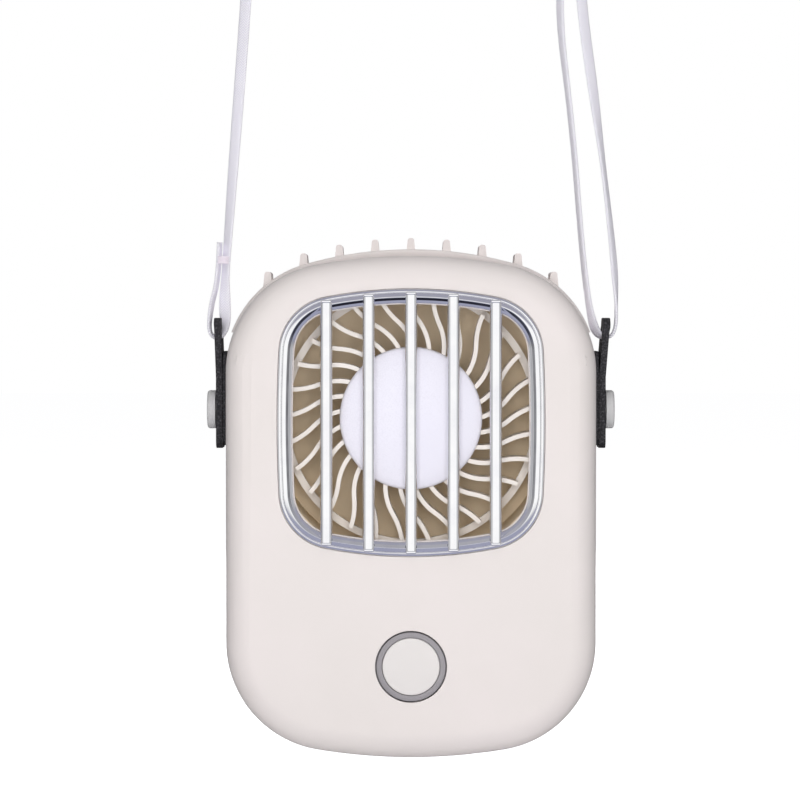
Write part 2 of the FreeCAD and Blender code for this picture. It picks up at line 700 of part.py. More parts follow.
def boxed(left, low, right, high):
    return lambda sketch: draw_box(sketch, left, low, right, high)


def pill(across, up, width, height):
    return lambda sketch: draw_pill(sketch, across, up, width, height)


# Shells


def strip_notch(body, front, rear):
    """The gap over the shoulders that the outlet strip fills."""
    cut_across(body, boxed(front, "strip_foot - fit_gap", rear, "body_top + strip_rise"),
               "-body_half_width - strip_rise", "body_half_width + strip_rise")


def make_front_shell():
    body = new_body("front_shell")
    slab(body, outlined(BODY), FRONT_FACE, SPLIT)
    round_edges(body, "edge_round", at_depth(FRONT_FACE))
    cut_slab(body, outlined(INNER), FRONT_INSIDE, SPLIT)
    round_edges(body, "edge_round - wall", at_depth(FRONT_INSIDE))
    for places, radius, rear in ((SCREW_PLACES, "screw_boss", SPLIT),
                                 (POST_PLACES, "post_radius", BOARD_FRONT)):
        slab(body, circles(places, radius), f"{FRONT_INSIDE} - wall / 2", rear)
    cut_slab(body, circles(SCREW_PLACES, "screw_radius + run_gap"),
             f"{SCREW_SEAT} - screw_length - fit_gap", SPLIT)
    cut_slab(body, outlined(grown(BEZEL, "fit_gap")), FRONT_FACE, BEZEL_BACK)
    cut_slab(body, outlined(INLET), FRONT_FACE, FRONT_INSIDE)
    cut_slab(body, circles([("0", f"-{BUTTON_DROP}")], "ring_radius + fit_gap"), FRONT_FACE, FRONT_INSIDE)
    cut_across(body, circles([("0", "stud_height")], "stud_radius + run_gap"),
               "-body_half_width", "body_half_width")
    cut_column(body, pill("0", PORT_DEPTH, "port_width + 2 * fit_gap", "port_height + 2 * fit_gap"),
               "-body_bottom", "-body_bottom + 2 * wall")
    strip_notch(body, "-strip_front", SPLIT)
    return finish(body)


def make_rear_shell():
    body = new_body("rear_shell")
    slab(body, outlined(BODY), SPLIT, REAR_FACE)
    round_edges(body, "rear_round", at_depth(REAR_FACE))
    cut_slab(body, outlined(INNER), SPLIT, REAR_INSIDE)
    round_edges(body, "rear_round - wall", at_depth(REAR_INSIDE))
    for places, radius, front in ((SCREW_PLACES, "screw_boss", SPLIT),
                                  (PROP_PLACES, "prop_radius", DUCT_BACK)):
        slab(body, circles(places, radius), front, f"{REAR_INSIDE} + wall / 2")
    for side in ("-1", "1"):
        near = f"{side} * ({CELL_HALF} + fit_gap)"
        far = f"{side} * ({CELL_HALF} + fit_gap + rib_wall)"
        middle = f"-({CELL_TOP} + {CELL_BOTTOM}) / 2"
        slab(body, boxed(near, f"{middle} - rib_length / 2", far, f"{middle} + rib_length / 2"),
             f"{REAR_INSIDE} - rib_height", f"{REAR_INSIDE} + wall / 2")
    for pair in (SCREW_PLACES[:2], SCREW_PLACES[2:]):
        cut_slab(body, circles(pair, "screw_head + fit_gap"), SCREW_SEAT, REAR_FACE)
        cut_slab(body, circles(pair, "screw_radius + fit_gap"), SPLIT, SCREW_SEAT)
    strip_notch(body, SPLIT, "strip_rear")
    return finish(body)


def crown_height(outline, across):
    """The formula for the height of an outline's upper edge at one place across."""
    top, crown, corner = outline.top, outline.top_crown, outline.top_corner
    centre_across = f"({outline.half_width} - {corner})"
    crown_centre = f"({top} - {crown})"
    centre_up = f"({crown_centre} + sqrt(({crown} - {corner})^2 - {centre_across}^2))"
    joint = amount(f"{centre_across} * {crown} / ({crown} - {corner})")
    if abs(amount(across)) < joint:
        return f"({crown_centre} + sqrt({crown}^2 - ({across})^2))"
    return f"({centre_up} + sqrt({corner}^2 - (abs({across}) - {centre_across})^2))"


def make_outlet_strip():
    body = new_body("outlet_strip")
    front, rear = "(-strip_front + fit_gap)", "(strip_rear - fit_gap)"
    slab(body, outlined(STRIP), front, rear)
    cut_slab(body, outlined(INNER), front, rear)
    cut_slab(body, boxed("-body_half_width - strip_rise", "-body_bottom - wall",
                         "body_half_width + strip_rise", "strip_foot"), front, rear)
    for seam in (front, rear):
        round_edges(body, "strip_round", along(STRIP, seam))

    def draw_fins(sketch):
        for step in spread("fin_count"):
            middle = f"({step} * {FIN_PITCH})"
            level = crown_height(STRIP, middle)
            draw_profile(sketch, [
                (f"{middle} - fin_root / 2", f"{level} - strip_rise"),
                (f"{middle} + fin_root / 2", f"{level} - strip_rise"),
                (f"{middle} + fin_tip / 2", f"{level} + fin_rise"),
                (f"{middle} - fin_tip / 2", f"{level} + fin_rise"),
            ])

    slab(body, draw_fins, f"{front} + fin_setback", f"{rear} - fin_setback")
    levels = [crown_height(STRIP, f"({step} * {FIN_PITCH})") for step in spread("fin_count")]
    tips = [amount(f"{level} + fin_rise") for level in levels]
    round_edges(body, "fin_round", lambda edge: is_tip(edge, tips))

    def draw_slots(sketch):
        for step in spread("fin_count")[:-1]:
            middle = f"({step + 0.5} * {FIN_PITCH})"
            half = f"({FIN_PITCH} - slot_land) / 2"
            draw_box(sketch, f"{middle} - {half}", f"{front} + slot_margin",
                     f"{middle} + {half}", f"{rear} - slot_margin")

    cut_column(body, draw_slots, "strip_foot", "body_top + strip_rise + wall")
    return finish(body)


def is_tip(edge, tips):
    """Chooses the long edges along the tips of the fins."""
    return runs_back(edge) and min(abs(edge.BoundBox.ZMax - tip) for tip in tips) < TINY


# Chrome inlet grille


def make_chrome_grille():
    ring = new_body("grille_bezel")
    slab(ring, outlined(BEZEL, grown(BEZEL, "-bezel_width")), BEZEL_LIP, BEZEL_BACK)
    round_edges(ring, "lip_round", along(BEZEL, BEZEL_LIP))
    slab(ring, outlined(grown(BEZEL, "-bead_inset"), grown(BEZEL, "-bezel_width")), BEAD_FRONT, BEZEL_BACK)
    round_edges(ring, "bead_round", at_depth(BEAD_FRONT))

    bars = new_body("grille_bars")

    def draw_bars(sketch):
        for step in spread("bar_count"):
            middle = f"({step} * {BAR_PITCH})"
            draw_box(sketch, f"{middle} - bar_width / 2", BAR_FRONT, f"{middle} + bar_width / 2",
                     f"{BAR_FRONT} + bar_depth")

    column(bars, draw_bars, BEZEL.bottom, BEZEL.top)
    round_edges(bars, "bar_round", lambda e: at_depth(BAR_FRONT)(e) and e.BoundBox.ZLength > 1)

    trim = new_body("grille_trim")
    slab(trim, outlined(grown(BEZEL, "-bar_end_inset")), f"{BAR_FRONT} - wall", BEZEL_BACK)

    trimmed = doc.addObject("Part::Common", "grille_bars_trimmed")
    trimmed.Base, trimmed.Tool = bars, trim
    grille = doc.addObject("Part::Fuse", "chrome_grille")
    grille.Label = "chrome_grille"
    grille.Base, grille.Tool = ring, trimmed
    return finish(grille)


# Impeller and motor


# Middle line of a blade: root, start of the outer bend and tip, with the radius of each bend

BLADE_ROOT = "(hub_radius - hub_wall / 2)"
BLADE_REACH = f"({DUCT_RADIUS} - blade_tip_gap - {BLADE_ROOT})"
INNER_BEND = f"(bend_share * {BLADE_REACH} / (sin(blade_mid_angle) - sin(blade_root_angle)))"
OUTER_BEND = f"((1 - bend_share) * {BLADE_REACH} / (sin(blade_mid_angle) - sin(blade_tip_angle)))"
BLADE_MIDDLE = (f"({BLADE_ROOT} + bend_share * {BLADE_REACH})",
                f"({INNER_BEND} * (cos(blade_root_angle) - cos(blade_mid_angle)))")
BLADE_TIP = (f"({BLADE_ROOT} + {BLADE_REACH})",
             f"({BLADE_MIDDLE[1]} + {OUTER_BEND} * (cos(blade_tip_angle) - cos(blade_mid_angle)))")


def blade_corners():
    """A thin blade with an S bend, drawn as two pairs of arcs about the same centres."""
    root, middle, tip = "blade_root_angle", "blade_mid_angle", "blade_tip_angle"
    half = "blade_thickness / 2"

    def beside(place, heading, side):
        across, up = place
        return (f"{across} {'-' if side > 0 else '+'} {half} * sin({heading})",
                f"{up} {'+' if side > 0 else '-'} {half} * cos({heading})")

    start = (BLADE_ROOT, "0")
    return [
        (*beside(start, root, -1), "left", f"{INNER_BEND} + {half}"),
        (*beside(BLADE_MIDDLE, middle, -1), "right", f"{OUTER_BEND} - {half}"),
        beside(BLADE_TIP, tip, -1),
        (*beside(BLADE_TIP, tip, 1), "left", f"{OUTER_BEND} + {half}"),
        (*beside(BLADE_MIDDLE, middle, 1), "right", f"{INNER_BEND} - {half}"),
        beside(start, root, 1),
    ]


def make_impeller():
    body = new_body("impeller")
    rear = f"({HUB_FRONT} + hub_depth)"
    turned(body, [("0", HUB_FRONT), ("hub_radius", HUB_FRONT), ("hub_radius", rear), (HUB_BORE, rear),
                  (HUB_BORE, CUP_FRONT), ("0", CUP_FRONT)])
    blade_front = f"({HUB_FRONT} + blade_setback)"
    blade_rear = f"({blade_front} + blade_height)"
    blade = slab(body, lambda sketch: draw_profile(sketch, blade_corners()), blade_front, blade_rear)
    polar(body, blade, "blade_count")
    rim_inner = f"(sqrt({BLADE_TIP[0]}^2 + {BLADE_TIP[1]}^2) - rim_bite)"
    rim = ring_shape("0", "0", f"{rim_inner} + rim_width", rim_inner)
    slab(body, rim, f"{blade_rear} - rim_depth", blade_rear)
    return finish(body)


def make_hub_cap():
    body = new_body("hub_cap")
    dome = "(cap_face^2 + (cap_rise - cap_shoulder)^2) / (2 * (cap_rise - cap_shoulder))"
    turned(body, [
        ("0", HUB_FRONT),
        ("0", f"{HUB_FRONT} - cap_rise", "left", dome),
        ("cap_face", f"{HUB_FRONT} - cap_shoulder"),
        ("hub_radius - cap_round", f"{HUB_FRONT} - cap_rim", "left", "cap_round"),
        ("hub_radius", f"{HUB_FRONT} - cap_rim + cap_round"),
        ("hub_radius", HUB_FRONT),
    ])
    return finish(body)


def make_rotor_cup():
    body = new_body("rotor_cup")
    rear = f"({CUP_FRONT} + cup_depth)"
    collar = f"({CUP_FLOOR} + cup_collar_depth)"
    bore = "(shaft_radius + fit_gap / 4)"
    turned(body, [(bore, CUP_FRONT), (CUP_OUTER, CUP_FRONT), (CUP_OUTER, rear), (CUP_INNER, rear),
                  (CUP_INNER, CUP_FLOOR), ("cup_collar", CUP_FLOOR), ("cup_collar", collar), (bore, collar)])
    return finish(body)


def make_magnet_ring():
    body = new_body("magnet_ring")
    front = f"({CUP_FLOOR} + fit_gap)"
    turned_ring(body, MAGNET_INNER, MAGNET_OUTER, front, f"{front} + magnet_depth")
    return finish(body)


def make_motor_shaft():
    body = new_body("motor_shaft")
    turned(body, [("0", CUP_FRONT), ("shaft_radius", CUP_FRONT),
                  ("shaft_radius", DUCT_FLOOR), ("0", DUCT_FLOOR)])
    return finish(body)


def make_bearing_tube():
    body = new_body("bearing_tube")
    turned_ring(body, TUBE_BORE, "tube_radius", TUBE_FRONT, DUCT_BACK)
    return finish(body)


def make_bearing(label, front):
    body = new_body(label)
    turned_ring(body, SHAFT_BORE, f"{TUBE_BORE} - fit_gap / 2", front, f"{front} + bearing_length")
    return finish(body)


def make_stator_core():
    body = new_body("stator_core")
    turned_ring(body, "tube_radius + fit_gap / 2", "stator_hub", STACK_FRONT, STACK_REAR)

    def draw_tooth(sketch):
        neck = f"({STATOR_OUTER} - shoe_depth)"
        tip = f"sqrt({STATOR_OUTER}^2 - (shoe_width / 2)^2)"
        draw_profile(sketch, [
            ("stator_hub - tube_wall", "-tooth_width / 2"),
            (neck, "-tooth_width / 2"),
            (f"{tip} - shoe_depth / 2", "-shoe_width / 2"),
            (tip, "-shoe_width / 2", "left", STATOR_OUTER),
            (tip, "shoe_width / 2"),
            (f"{tip} - shoe_depth / 2", "shoe_width / 2"),
            (neck, "tooth_width / 2"),
            ("stator_hub - tube_wall", "tooth_width / 2"),
        ])

    polar(body, slab(body, draw_tooth, STACK_FRONT, STACK_REAR), "tooth_count")
    return finish(body)


def make_stator_coils():
    body = new_body("stator_coils")
    near = "(stator_hub + fit_gap)"
    far = f"(sqrt({STATOR_OUTER}^2 - (shoe_width / 2)^2) - shoe_depth)"
    half = "(tooth_width / 2 + fit_gap)"
    coil = slab(body, boxed(near, f"-{half} - coil_thickness", far, f"{half} + coil_thickness"),
                COIL_FRONT, COIL_REAR)
    slot = cut_slab(body, boxed(f"{near} - fit_gap", f"-{half}", f"{far} + fit_gap", half),
                    f"{STACK_FRONT} - fit_gap", f"{STACK_REAR} + fit_gap")
    pattern = polar(body, coil, "tooth_count")
    pattern.Originals = [coil, slot]
    return finish(body)


def make_motor_board():
    body = new_body("motor_board")
    turned_ring(body, "tube_radius + fit_gap / 2", "motor_board_radius", MOTOR_BOARD_FRONT, MOTOR_BOARD_REAR)
    return finish(body)


def make_air_duct():
    body = new_body("air_duct")
    slab(body, circles([("0", "0")], DUCT_OUTER), FRONT_INSIDE, DUCT_BACK)
    slab(body, boxed(f"-{DUCT_OUTER}", "0", DUCT_OUTER, "duct_foot"), FRONT_INSIDE, DUCT_BACK)
    cut_slab(body, circles([("0", "0")], DUCT_RADIUS), FRONT_INSIDE, DUCT_FLOOR)
    cut_slab(body, boxed(f"-{DUCT_RADIUS}", "0", DUCT_RADIUS, "body_top"), FRONT_INSIDE, DUCT_FLOOR)
    plate = Outline(DUCT_OUTER, "(body_top - duct_top_gap)", "(-duct_foot)", "top_crown", "bottom_crown",
                    "(top_corner - wall)", "(top_corner - wall)", None)
    slab(body, outlined(plate), DUCT_FLOOR, DUCT_BACK)
    boss_front = f"({MOTOR_BOARD_REAR} + boss_gap)"
    slab(body, circles([("0", "0")], "tube_radius + boss_wall"), boss_front, DUCT_BACK)
    cut_slab(body, circles([("0", "0")], "tube_radius + fit_gap / 2"), boss_front, DUCT_BACK)
    cut_slab(body, circles([("0", "-lead_drop")], "lead_hole"), DUCT_FLOOR, DUCT_BACK)
    return finish(body)


# Button and electronics


def make_button_ring():
    body = new_body("button_ring")
    front = "(-front_reach - ring_proud)"
    turned(body, [("ring_bore", front), ("ring_radius", front), ("ring_radius", FRONT_INSIDE),
                  ("ring_flange", FRONT_INSIDE), ("ring_flange", RING_BACK), ("ring_bore", RING_BACK)])
    return finish_at(body, f"-{BUTTON_DROP}")


def finish_at(body, up):
    """A piece turned about its own axis, level with a given height on the fan."""
    body.setExpression("Placement.Base.z", tied(f"-axis_drop + ({up})"))
    return finish(body)


def make_power_button():
    body = new_body("power_button")
    face = "(ring_bore - fit_gap)"
    front = "(-front_reach - button_proud)"
    dome = f"({face}^2 + button_edge^2) / (2 * button_edge)"
    turned(body, [
        ("0", PLUNGER_FRONT),
        ("0", front, "left", dome),
        (face, f"{front} + button_edge"),
        (face, BUTTON_STOP),
        ("button_flange", BUTTON_STOP),
        ("button_flange", BUTTON_BACK),
        ("stem_radius", BUTTON_BACK),
        ("stem_radius", PLUNGER_FRONT),
    ])
    return finish_at(body, f"-{BUTTON_DROP}")


def make_switch_plunger():
    body = new_body("switch_plunger")
    rear = f"({SWITCH_FRONT} + plunger_depth)"
    turned(body, [("0", PLUNGER_FRONT), ("plunger_radius", PLUNGER_FRONT),
                  ("plunger_radius", rear), ("0", rear)])
    return finish_at(body, f"-{BUTTON_DROP}")


def make_tact_switch():
    body = new_body("tact_switch")
    half = "switch_width / 2"
    slab(body, boxed(f"-{half}", f"-{half}", half, half), SWITCH_FRONT, BOARD_FRONT)
    cut_slab(body, circles([("0", "0")], "plunger_radius + run_gap"), SWITCH_FRONT,
             f"{SWITCH_FRONT} + plunger_depth + button_play")
    return finish_at(body, f"-{BUTTON_DROP}")


def make_main_board():
    body = new_body("main_board")
    slab(body, boxed("-board_half_width", f"-{BOARD_BOTTOM}", "board_half_width", f"-{BOARD_TOP}"),
         BOARD_FRONT, BOARD_REAR)
    round_edges(body, "post_radius", runs_back)
    return finish(body)


def make_charge_socket():
    body = new_body("charge_socket")
    low = "(-body_bottom + port_recess)"
    high = f"({low} + port_length)"
    column(body, pill("0", PORT_DEPTH, "port_width", "port_height"), low, high)
    cut_column(body, pill("0", PORT_DEPTH, "port_width - 2 * port_wall", "port_height - 2 * port_wall"),
               low, f"{high} - port_wall")
    tongue = "(port_width / 2 - port_height / 2)"
    half = "port_tongue / 2"
    column(body, boxed(f"-{tongue}", f"{PORT_DEPTH} - {half}", tongue, f"{PORT_DEPTH} + {half}"),
           f"{low} + port_recess", high)
    return finish(body)


def make_battery_pack():
    body = new_body("battery_pack")
    slab(body, boxed(f"-{CELL_HALF}", f"-{CELL_BOTTOM}", CELL_HALF, f"-{CELL_TOP}"), CELL_FRONT, REAR_INSIDE)
    round_edges(body, "cell_round", runs_back)
    return finish(body)


def make_housing_screws():
    body = new_body("housing_screws")
    slab(body, circles(SCREW_PLACES, "screw_head"), SCREW_SEAT, f"{SCREW_SEAT} + screw_head_height")
    slab(body, circles(SCREW_PLACES, "screw_radius"), f"{SCREW_SEAT} - screw_length", SCREW_SEAT)
    return finish(body)


# Straps

PAD_INSIDE = "(body_half_width + strap_gap)"
TAB_INSIDE = f"({PAD_INSIDE} + pad_thickness)"
TAB_OUTSIDE = f"({TAB_INSIDE} + tab_thickness)"
HEAD_INSIDE = f"({TAB_OUTSIDE} + strap_gap)"
NUT_OUTSIDE = "(body_half_width - wall)"


def make_strap_tab(label, sign):
    body = new_body(label)

    def draw_strip(sketch):
        corners = [
            (TAB_INSIDE, "-tab_bottom"), (TAB_OUTSIDE, "-tab_bottom"), (TAB_OUTSIDE, "tab_bend"),
            (f"{TAB_OUTSIDE} + tab_lean", "tab_top"), (f"{TAB_INSIDE} + tab_lean", "tab_top"),
            (TAB_INSIDE, "tab_bend"),
        ]
        draw_profile(sketch, [(f"{sign}({across})", f"stud_height + {up}") for across, up in corners])

    slab(body, draw_strip, "-tab_half_width", "tab_half_width")
    round_edges(body, "tab_round", runs_across)
    left = f"{sign}({PAD_INSIDE})" if sign == "" else f"-({HEAD_INSIDE} + tab_lean)"
    right = f"{HEAD_INSIDE} + tab_lean" if sign == "" else f"-({PAD_INSIDE})"
    cut_across(body, circles([("0", "stud_height")], "stud_radius + run_gap"), left, right)
    cut_across(body, pill("0", "stud_height + eyelet_height", "eyelet_width", "eyelet_depth"), left, right)
    return finish(body)


def make_strap_pad(label, sign):
    body = new_body(label)
    left, right = (PAD_INSIDE, TAB_INSIDE) if sign == "" else (f"-{TAB_INSIDE}", f"-{PAD_INSIDE}")
    block_across(body, boxed("-tab_half_width", "stud_height - pad_bottom", "tab_half_width",
                             "stud_height + pad_top"), left, right)
    round_edges(body, "tab_round", runs_across)
    cut_across(body, circles([("0", "stud_height")], "stud_radius + run_gap"), left, right)
    return finish(body)


def make_strap_stud(label, sign):
    body = new_body(label)
    outside = f"({HEAD_INSIDE} + stud_head_height)"
    inside = f"({NUT_OUTSIDE} - nut_height)"
    turn = "right" if sign == "" else "left"
    corners = [
        (inside, "0"), (inside, "stud_radius"), (HEAD_INSIDE, "stud_radius"), (HEAD_INSIDE, "stud_head"),
        (f"{outside} - stud_head_round", "stud_head", turn, "stud_head_round"),
        (outside, "stud_head - stud_head_round"), (outside, "0"),
    ]
    turned(body, [(f"{sign}({c[0]})", *c[1:]) for c in corners], axis="H_Axis")
    return finish_at(body, "stud_height")


def make_strap_nut(label, sign):
    body = new_body(label)
    inside = f"({NUT_OUTSIDE} - nut_height)"
    left, right = (inside, NUT_OUTSIDE) if sign == "" else (f"-{NUT_OUTSIDE}", f"-{inside}")
    block_across(body, ring_shape("0", "stud_height", "nut_radius", "stud_radius + fit_gap / 2"), left, right)
    return finish(body)


# Cord and wires

CORD_ROUTE = [
    (-41.35, 0.0, -97.4),
    (-41.6, 0.0, -106.0),
    (-43.4, 0.0, -111.0),
    (-43.8, 0.0, -117.1),
    (-39.95, 0.0, -117.1),
    (-39.75, 0.0, -109.3),
    (-39.4, 0.0, -102.0),
    (-36.0, 0.0, -45.1),
    (-35.6, 0.0, -32.0),
    (-31.0, 0.0, -14.0),
    (-17.5, 0.0, -2.15),
    (0.5, 0.0, 1.65),
    (18.5, 0.0, -1.95),
    (31.6, 0.0, -13.6),
    (35.9, 0.0, -31.0),
    (36.6, 0.0, -45.1),
    (40.6, 0.0, -73.0),
    (43.4, 0.0, -96.5),
    (44.6, 0.0, -110.0),
    (43.8, 0.0, -117.1),
    (39.95, 0.0, -117.1),
    (39.2, 0.0, -110.2),
    (36.4, 0.0, -96.5),
    (35.0, 0.0, -73.0),
    (32.2, 0.0, -45.1),
    (33.75, 0.0, -34.5),
    (32.85, 0.0, -26.0),
]
LEFT_CLAMP = (Vector(-40.4, 0.0, -101.2), 2.2)
RIGHT_CLAMP = (Vector(34.1, 0.0, -28.3), -8.5)


def rounded_route(points):
    """Straight runs with an arc at each point, as large as the shorter run beside it allows."""
    spots = [Vector(*point) for point in points]
    edges, radii = [], []
    start = spots[0]
    for before, corner, after in zip(spots, spots[1:], spots[2:]):
        come = (corner - before).normalize()
        leave = (after - corner).normalize()
        half_turn = come.getAngle(leave) / 2
        reach = ARC_SHARE * min((corner - before).Length, (after - corner).Length)
        radius = reach / math.tan(half_turn)
        inward = (leave - come).normalize()
        entry, departure = corner - come * reach, corner + leave * reach
        middle = corner + inward * (radius / math.cos(half_turn) - radius)
        edges.append(Part.LineSegment(start, entry).toShape())
        edges.append(Part.Arc(entry, middle, departure).toShape())
        radii.append(radius)
        start = departure
    edges.append(Part.LineSegment(start, spots[-1]).toShape())
    return Part.Wire(edges), radii


def make_tube(label, points, radius):
    path, radii = rounded_route(points)
    direction = Vector(*points[1]) - Vector(*points[0])
    ring = Part.Wire(Part.makeCircle(radius, Vector(*points[0]), direction))
    shape = path.makePipeShell([ring], True, False)
    section = math.pi * radius ** 2 * path.Length
    print(f"{label}: length {path.Length:.1f} mm, volume {shape.Volume:.1f} of {section:.1f} mm3, radii",
          " ".join(f"{r:.1f}" for r in radii))
    if abs(shape.Volume / section - 1) > 0.02:
        raise RuntimeError(f"{label}: the swept volume is off")
    piece = doc.addObject("Part::Feature", label)
    piece.Label = label
    piece.Shape = shape
    return piece


def make_cord_clamp(label, place):
    """A flat crimped ring that holds two strands side by side."""
    body = new_body(label)
    inner_height = "2 * (cord_radius + clamp_gap)"
    inner_width = f"(clamp_pitch + {inner_height})"
    column(body, pill("0", "0", f"{inner_width} + 2 * clamp_wall", f"{inner_height} + 2 * clamp_wall"),
           "-clamp_height / 2", "clamp_height / 2")
    cut_column(body, pill("0", "0", inner_width, inner_height), "-clamp_height / 2", "clamp_height / 2")
    body.setExpression("Placement.Base.z", None)
    centre, lean = place
    body.Placement = FreeCAD.Placement(centre, FreeCAD.Rotation(Vector(0, 1, 0), lean))
    return finish(body)


def make_wires():
    """The leads pass between the duct and the battery to the rear of the main board."""
    axis = -amount("axis_drop")
    radius = amount("wire_radius")
    behind = amount(f"{DUCT_BACK} + lead_reach")
    board = amount(BOARD_REAR)
    near_board = board + amount("lead_landing")
    hole = axis - amount("lead_drop")
    passage = axis - amount(f"({DUCT_OUTER} + {CELL_TOP}) / 2")
    landing = axis - amount(f"{BOARD_TOP} + post_inset")
    finish(make_tube("motor_lead", [
        (0.0, amount(MOTOR_BOARD_REAR), hole),
        (0.0, behind, hole),
        (0.0, behind, passage),
        (0.0, near_board, passage),
        (0.0, near_board, landing),
        (0.0, board, landing),
    ], radius))
    across = amount("cell_lead_offset")
    cell = axis - amount(CELL_TOP)
    cell_middle = amount(f"({CELL_FRONT} + {REAR_INSIDE}) / 2")
    above_cell = cell + amount("lead_rise")
    finish(make_tube("battery_lead", [
        (across, cell_middle, cell),
        (across, cell_middle, above_cell),
        (across, near_board, above_cell),
        (across, near_board, landing),
        (across, board, landing),
    ], radius))


# Assembly

make_front_shell()
make_rear_shell()
make_outlet_strip()
make_chrome_grille()
make_impeller()
make_hub_cap()
make_rotor_cup()
make_magnet_ring()
make_motor_shaft()
make_bearing_tube()
make_bearing("front_bearing", TUBE_FRONT)
make_bearing("rear_bearing", f"({DUCT_FLOOR} - bearing_length)")
make_stator_core()
make_stator_coils()
make_motor_board()
make_air_duct()
make_button_ring()
make_power_button()
make_switch_plunger()
make_tact_switch()
make_main_board()
make_charge_socket()
make_battery_pack()
make_housing_screws()
for side, sign in (("left", "-"), ("right", "")):
    make_strap_tab(f"strap_tab_{side}", sign)
    make_strap_pad(f"strap_pad_{side}", sign)
    make_strap_stud(f"strap_stud_{side}", sign)
    make_strap_nut(f"strap_nut_{side}", sign)
finish(make_tube("neck_cord", CORD_ROUTE, amount("cord_radius")))
make_cord_clamp("cord_clamp_left", LEFT_CLAMP)
make_cord_clamp("cord_clamp_right", RIGHT_CLAMP)
make_wires()

# Checks and files

doc.recompute()
failed = [item.Label for item in doc.Objects if {"Invalid", "Error"} & set(item.State)]
failed += [piece.Label for piece in pieces if piece.Shape.isNull() or not piece.Shape.isValid()]
if failed:
    raise RuntimeError("not built: " + ", ".join(failed))
os.makedirs("parts", exist_ok=True)
for piece in pieces:
    piece.Shape.exportStep(f"parts/{piece.Label}.step")
print(len(pieces), "pieces written")
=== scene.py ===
# %% [markdown]
# A small fan hangs on the chest from a flat white cord. Its housing, fan wheel, motor and button come
# ready made as solids in one shared frame, in metres, with +Z up and the front towards -Y.
# This lesson keeps most of the rigid solids and gives them real finishes. It models anew what a solid
# shows poorly: the braided cord, its clamps, the leather straps, the plated grille, the hub cap, the
# button with its trim ring and the screws. It also trims the two halves of the housing.

# %% Load the frame
import json
import math

import bmesh
import bpy
from mathutils import Matrix, Vector


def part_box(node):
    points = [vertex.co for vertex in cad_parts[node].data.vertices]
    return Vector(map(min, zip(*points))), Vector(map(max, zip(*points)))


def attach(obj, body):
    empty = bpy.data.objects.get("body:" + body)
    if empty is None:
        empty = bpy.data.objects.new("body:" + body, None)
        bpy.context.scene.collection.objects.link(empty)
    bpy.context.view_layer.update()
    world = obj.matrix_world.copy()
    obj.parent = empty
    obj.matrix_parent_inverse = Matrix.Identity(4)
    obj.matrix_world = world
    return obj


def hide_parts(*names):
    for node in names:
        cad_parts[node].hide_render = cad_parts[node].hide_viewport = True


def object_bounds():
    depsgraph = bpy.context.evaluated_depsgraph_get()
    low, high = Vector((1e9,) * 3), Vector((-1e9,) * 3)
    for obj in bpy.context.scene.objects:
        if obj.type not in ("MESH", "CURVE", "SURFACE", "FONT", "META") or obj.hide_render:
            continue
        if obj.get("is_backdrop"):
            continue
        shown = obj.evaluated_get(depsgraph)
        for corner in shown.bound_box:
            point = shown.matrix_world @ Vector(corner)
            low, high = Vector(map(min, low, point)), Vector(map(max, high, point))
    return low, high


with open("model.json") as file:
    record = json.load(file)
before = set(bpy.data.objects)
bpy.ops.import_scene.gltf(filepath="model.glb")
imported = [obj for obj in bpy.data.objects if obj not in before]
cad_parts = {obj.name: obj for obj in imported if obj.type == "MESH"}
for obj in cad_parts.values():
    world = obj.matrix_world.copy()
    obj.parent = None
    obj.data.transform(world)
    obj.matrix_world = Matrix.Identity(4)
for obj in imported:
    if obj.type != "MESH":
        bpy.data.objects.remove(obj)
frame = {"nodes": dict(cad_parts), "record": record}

cad_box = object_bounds()
AXIS_HEIGHT = -0.134

# %% [markdown]
# The photograph was taken with a long lens from almost straight ahead and a little above.
# The picture could be matched by eye in the viewport, but a few measured numbers do it exactly:
# how far away the camera is, which point it looks at, and how many pixels a millimetre covers there.

# %% Camera
VIEW_DISTANCE, VIEW_LENS, SENSOR_WIDTH = 0.7, 149.3, 36.0
VIEW_ELEVATION = math.radians(1.5)
VIEW_TARGET = Vector((-0.00231, -0.012, -0.13021))
away = Vector((0.0, -math.cos(VIEW_ELEVATION), math.sin(VIEW_ELEVATION)))
bpy.ops.object.select_all(action="DESELECT")
bpy.ops.object.camera_add(location=VIEW_TARGET + VIEW_DISTANCE * away,
                          rotation=(math.pi / 2 - VIEW_ELEVATION, 0.0, 0.0))
camera = bpy.context.object
camera.data.sensor_width = SENSOR_WIDTH
camera.data.lens = VIEW_LENS
camera.data.clip_start = 0.01
bpy.context.scene.camera = camera
print("camera at", [round(v, 4) for v in camera.location], "lens", round(camera.data.lens, 1))

# %% [markdown]
# A finish is a small network of nodes. Networks that several finishes need are built once as groups,
# and each material places the group with its own values. A group here is given its colour and scale and
# puts out a colour, a roughness and a height. Colours are written as they look on a screen, from 0 to
# 255, so a helper turns them into the linear values that Blender works with.

# %% Helpers for finishes


def screen_colour(red, green, blue):
    """A screen colour as Blender's linear red, green, blue and alpha."""
    channels = []
    for value in (red, green, blue):
        share = value / 255.0
        channels.append(share / 12.92 if share <= 0.04045 else ((share + 0.055) / 1.055) ** 2.4)
    return (*channels, 1.0)


def new_group(name, inputs, outputs):
    """An empty node group with named sockets, and its first and last node."""
    group = bpy.data.node_groups.new(name, "ShaderNodeTree")
    for direction, sockets in (("INPUT", inputs), ("OUTPUT", outputs)):
        for label, kind in sockets:
            group.interface.new_socket(name=label, in_out=direction, socket_type="NodeSocket" + kind)
    return group, group.nodes.new("NodeGroupInput"), group.nodes.new("NodeGroupOutput")


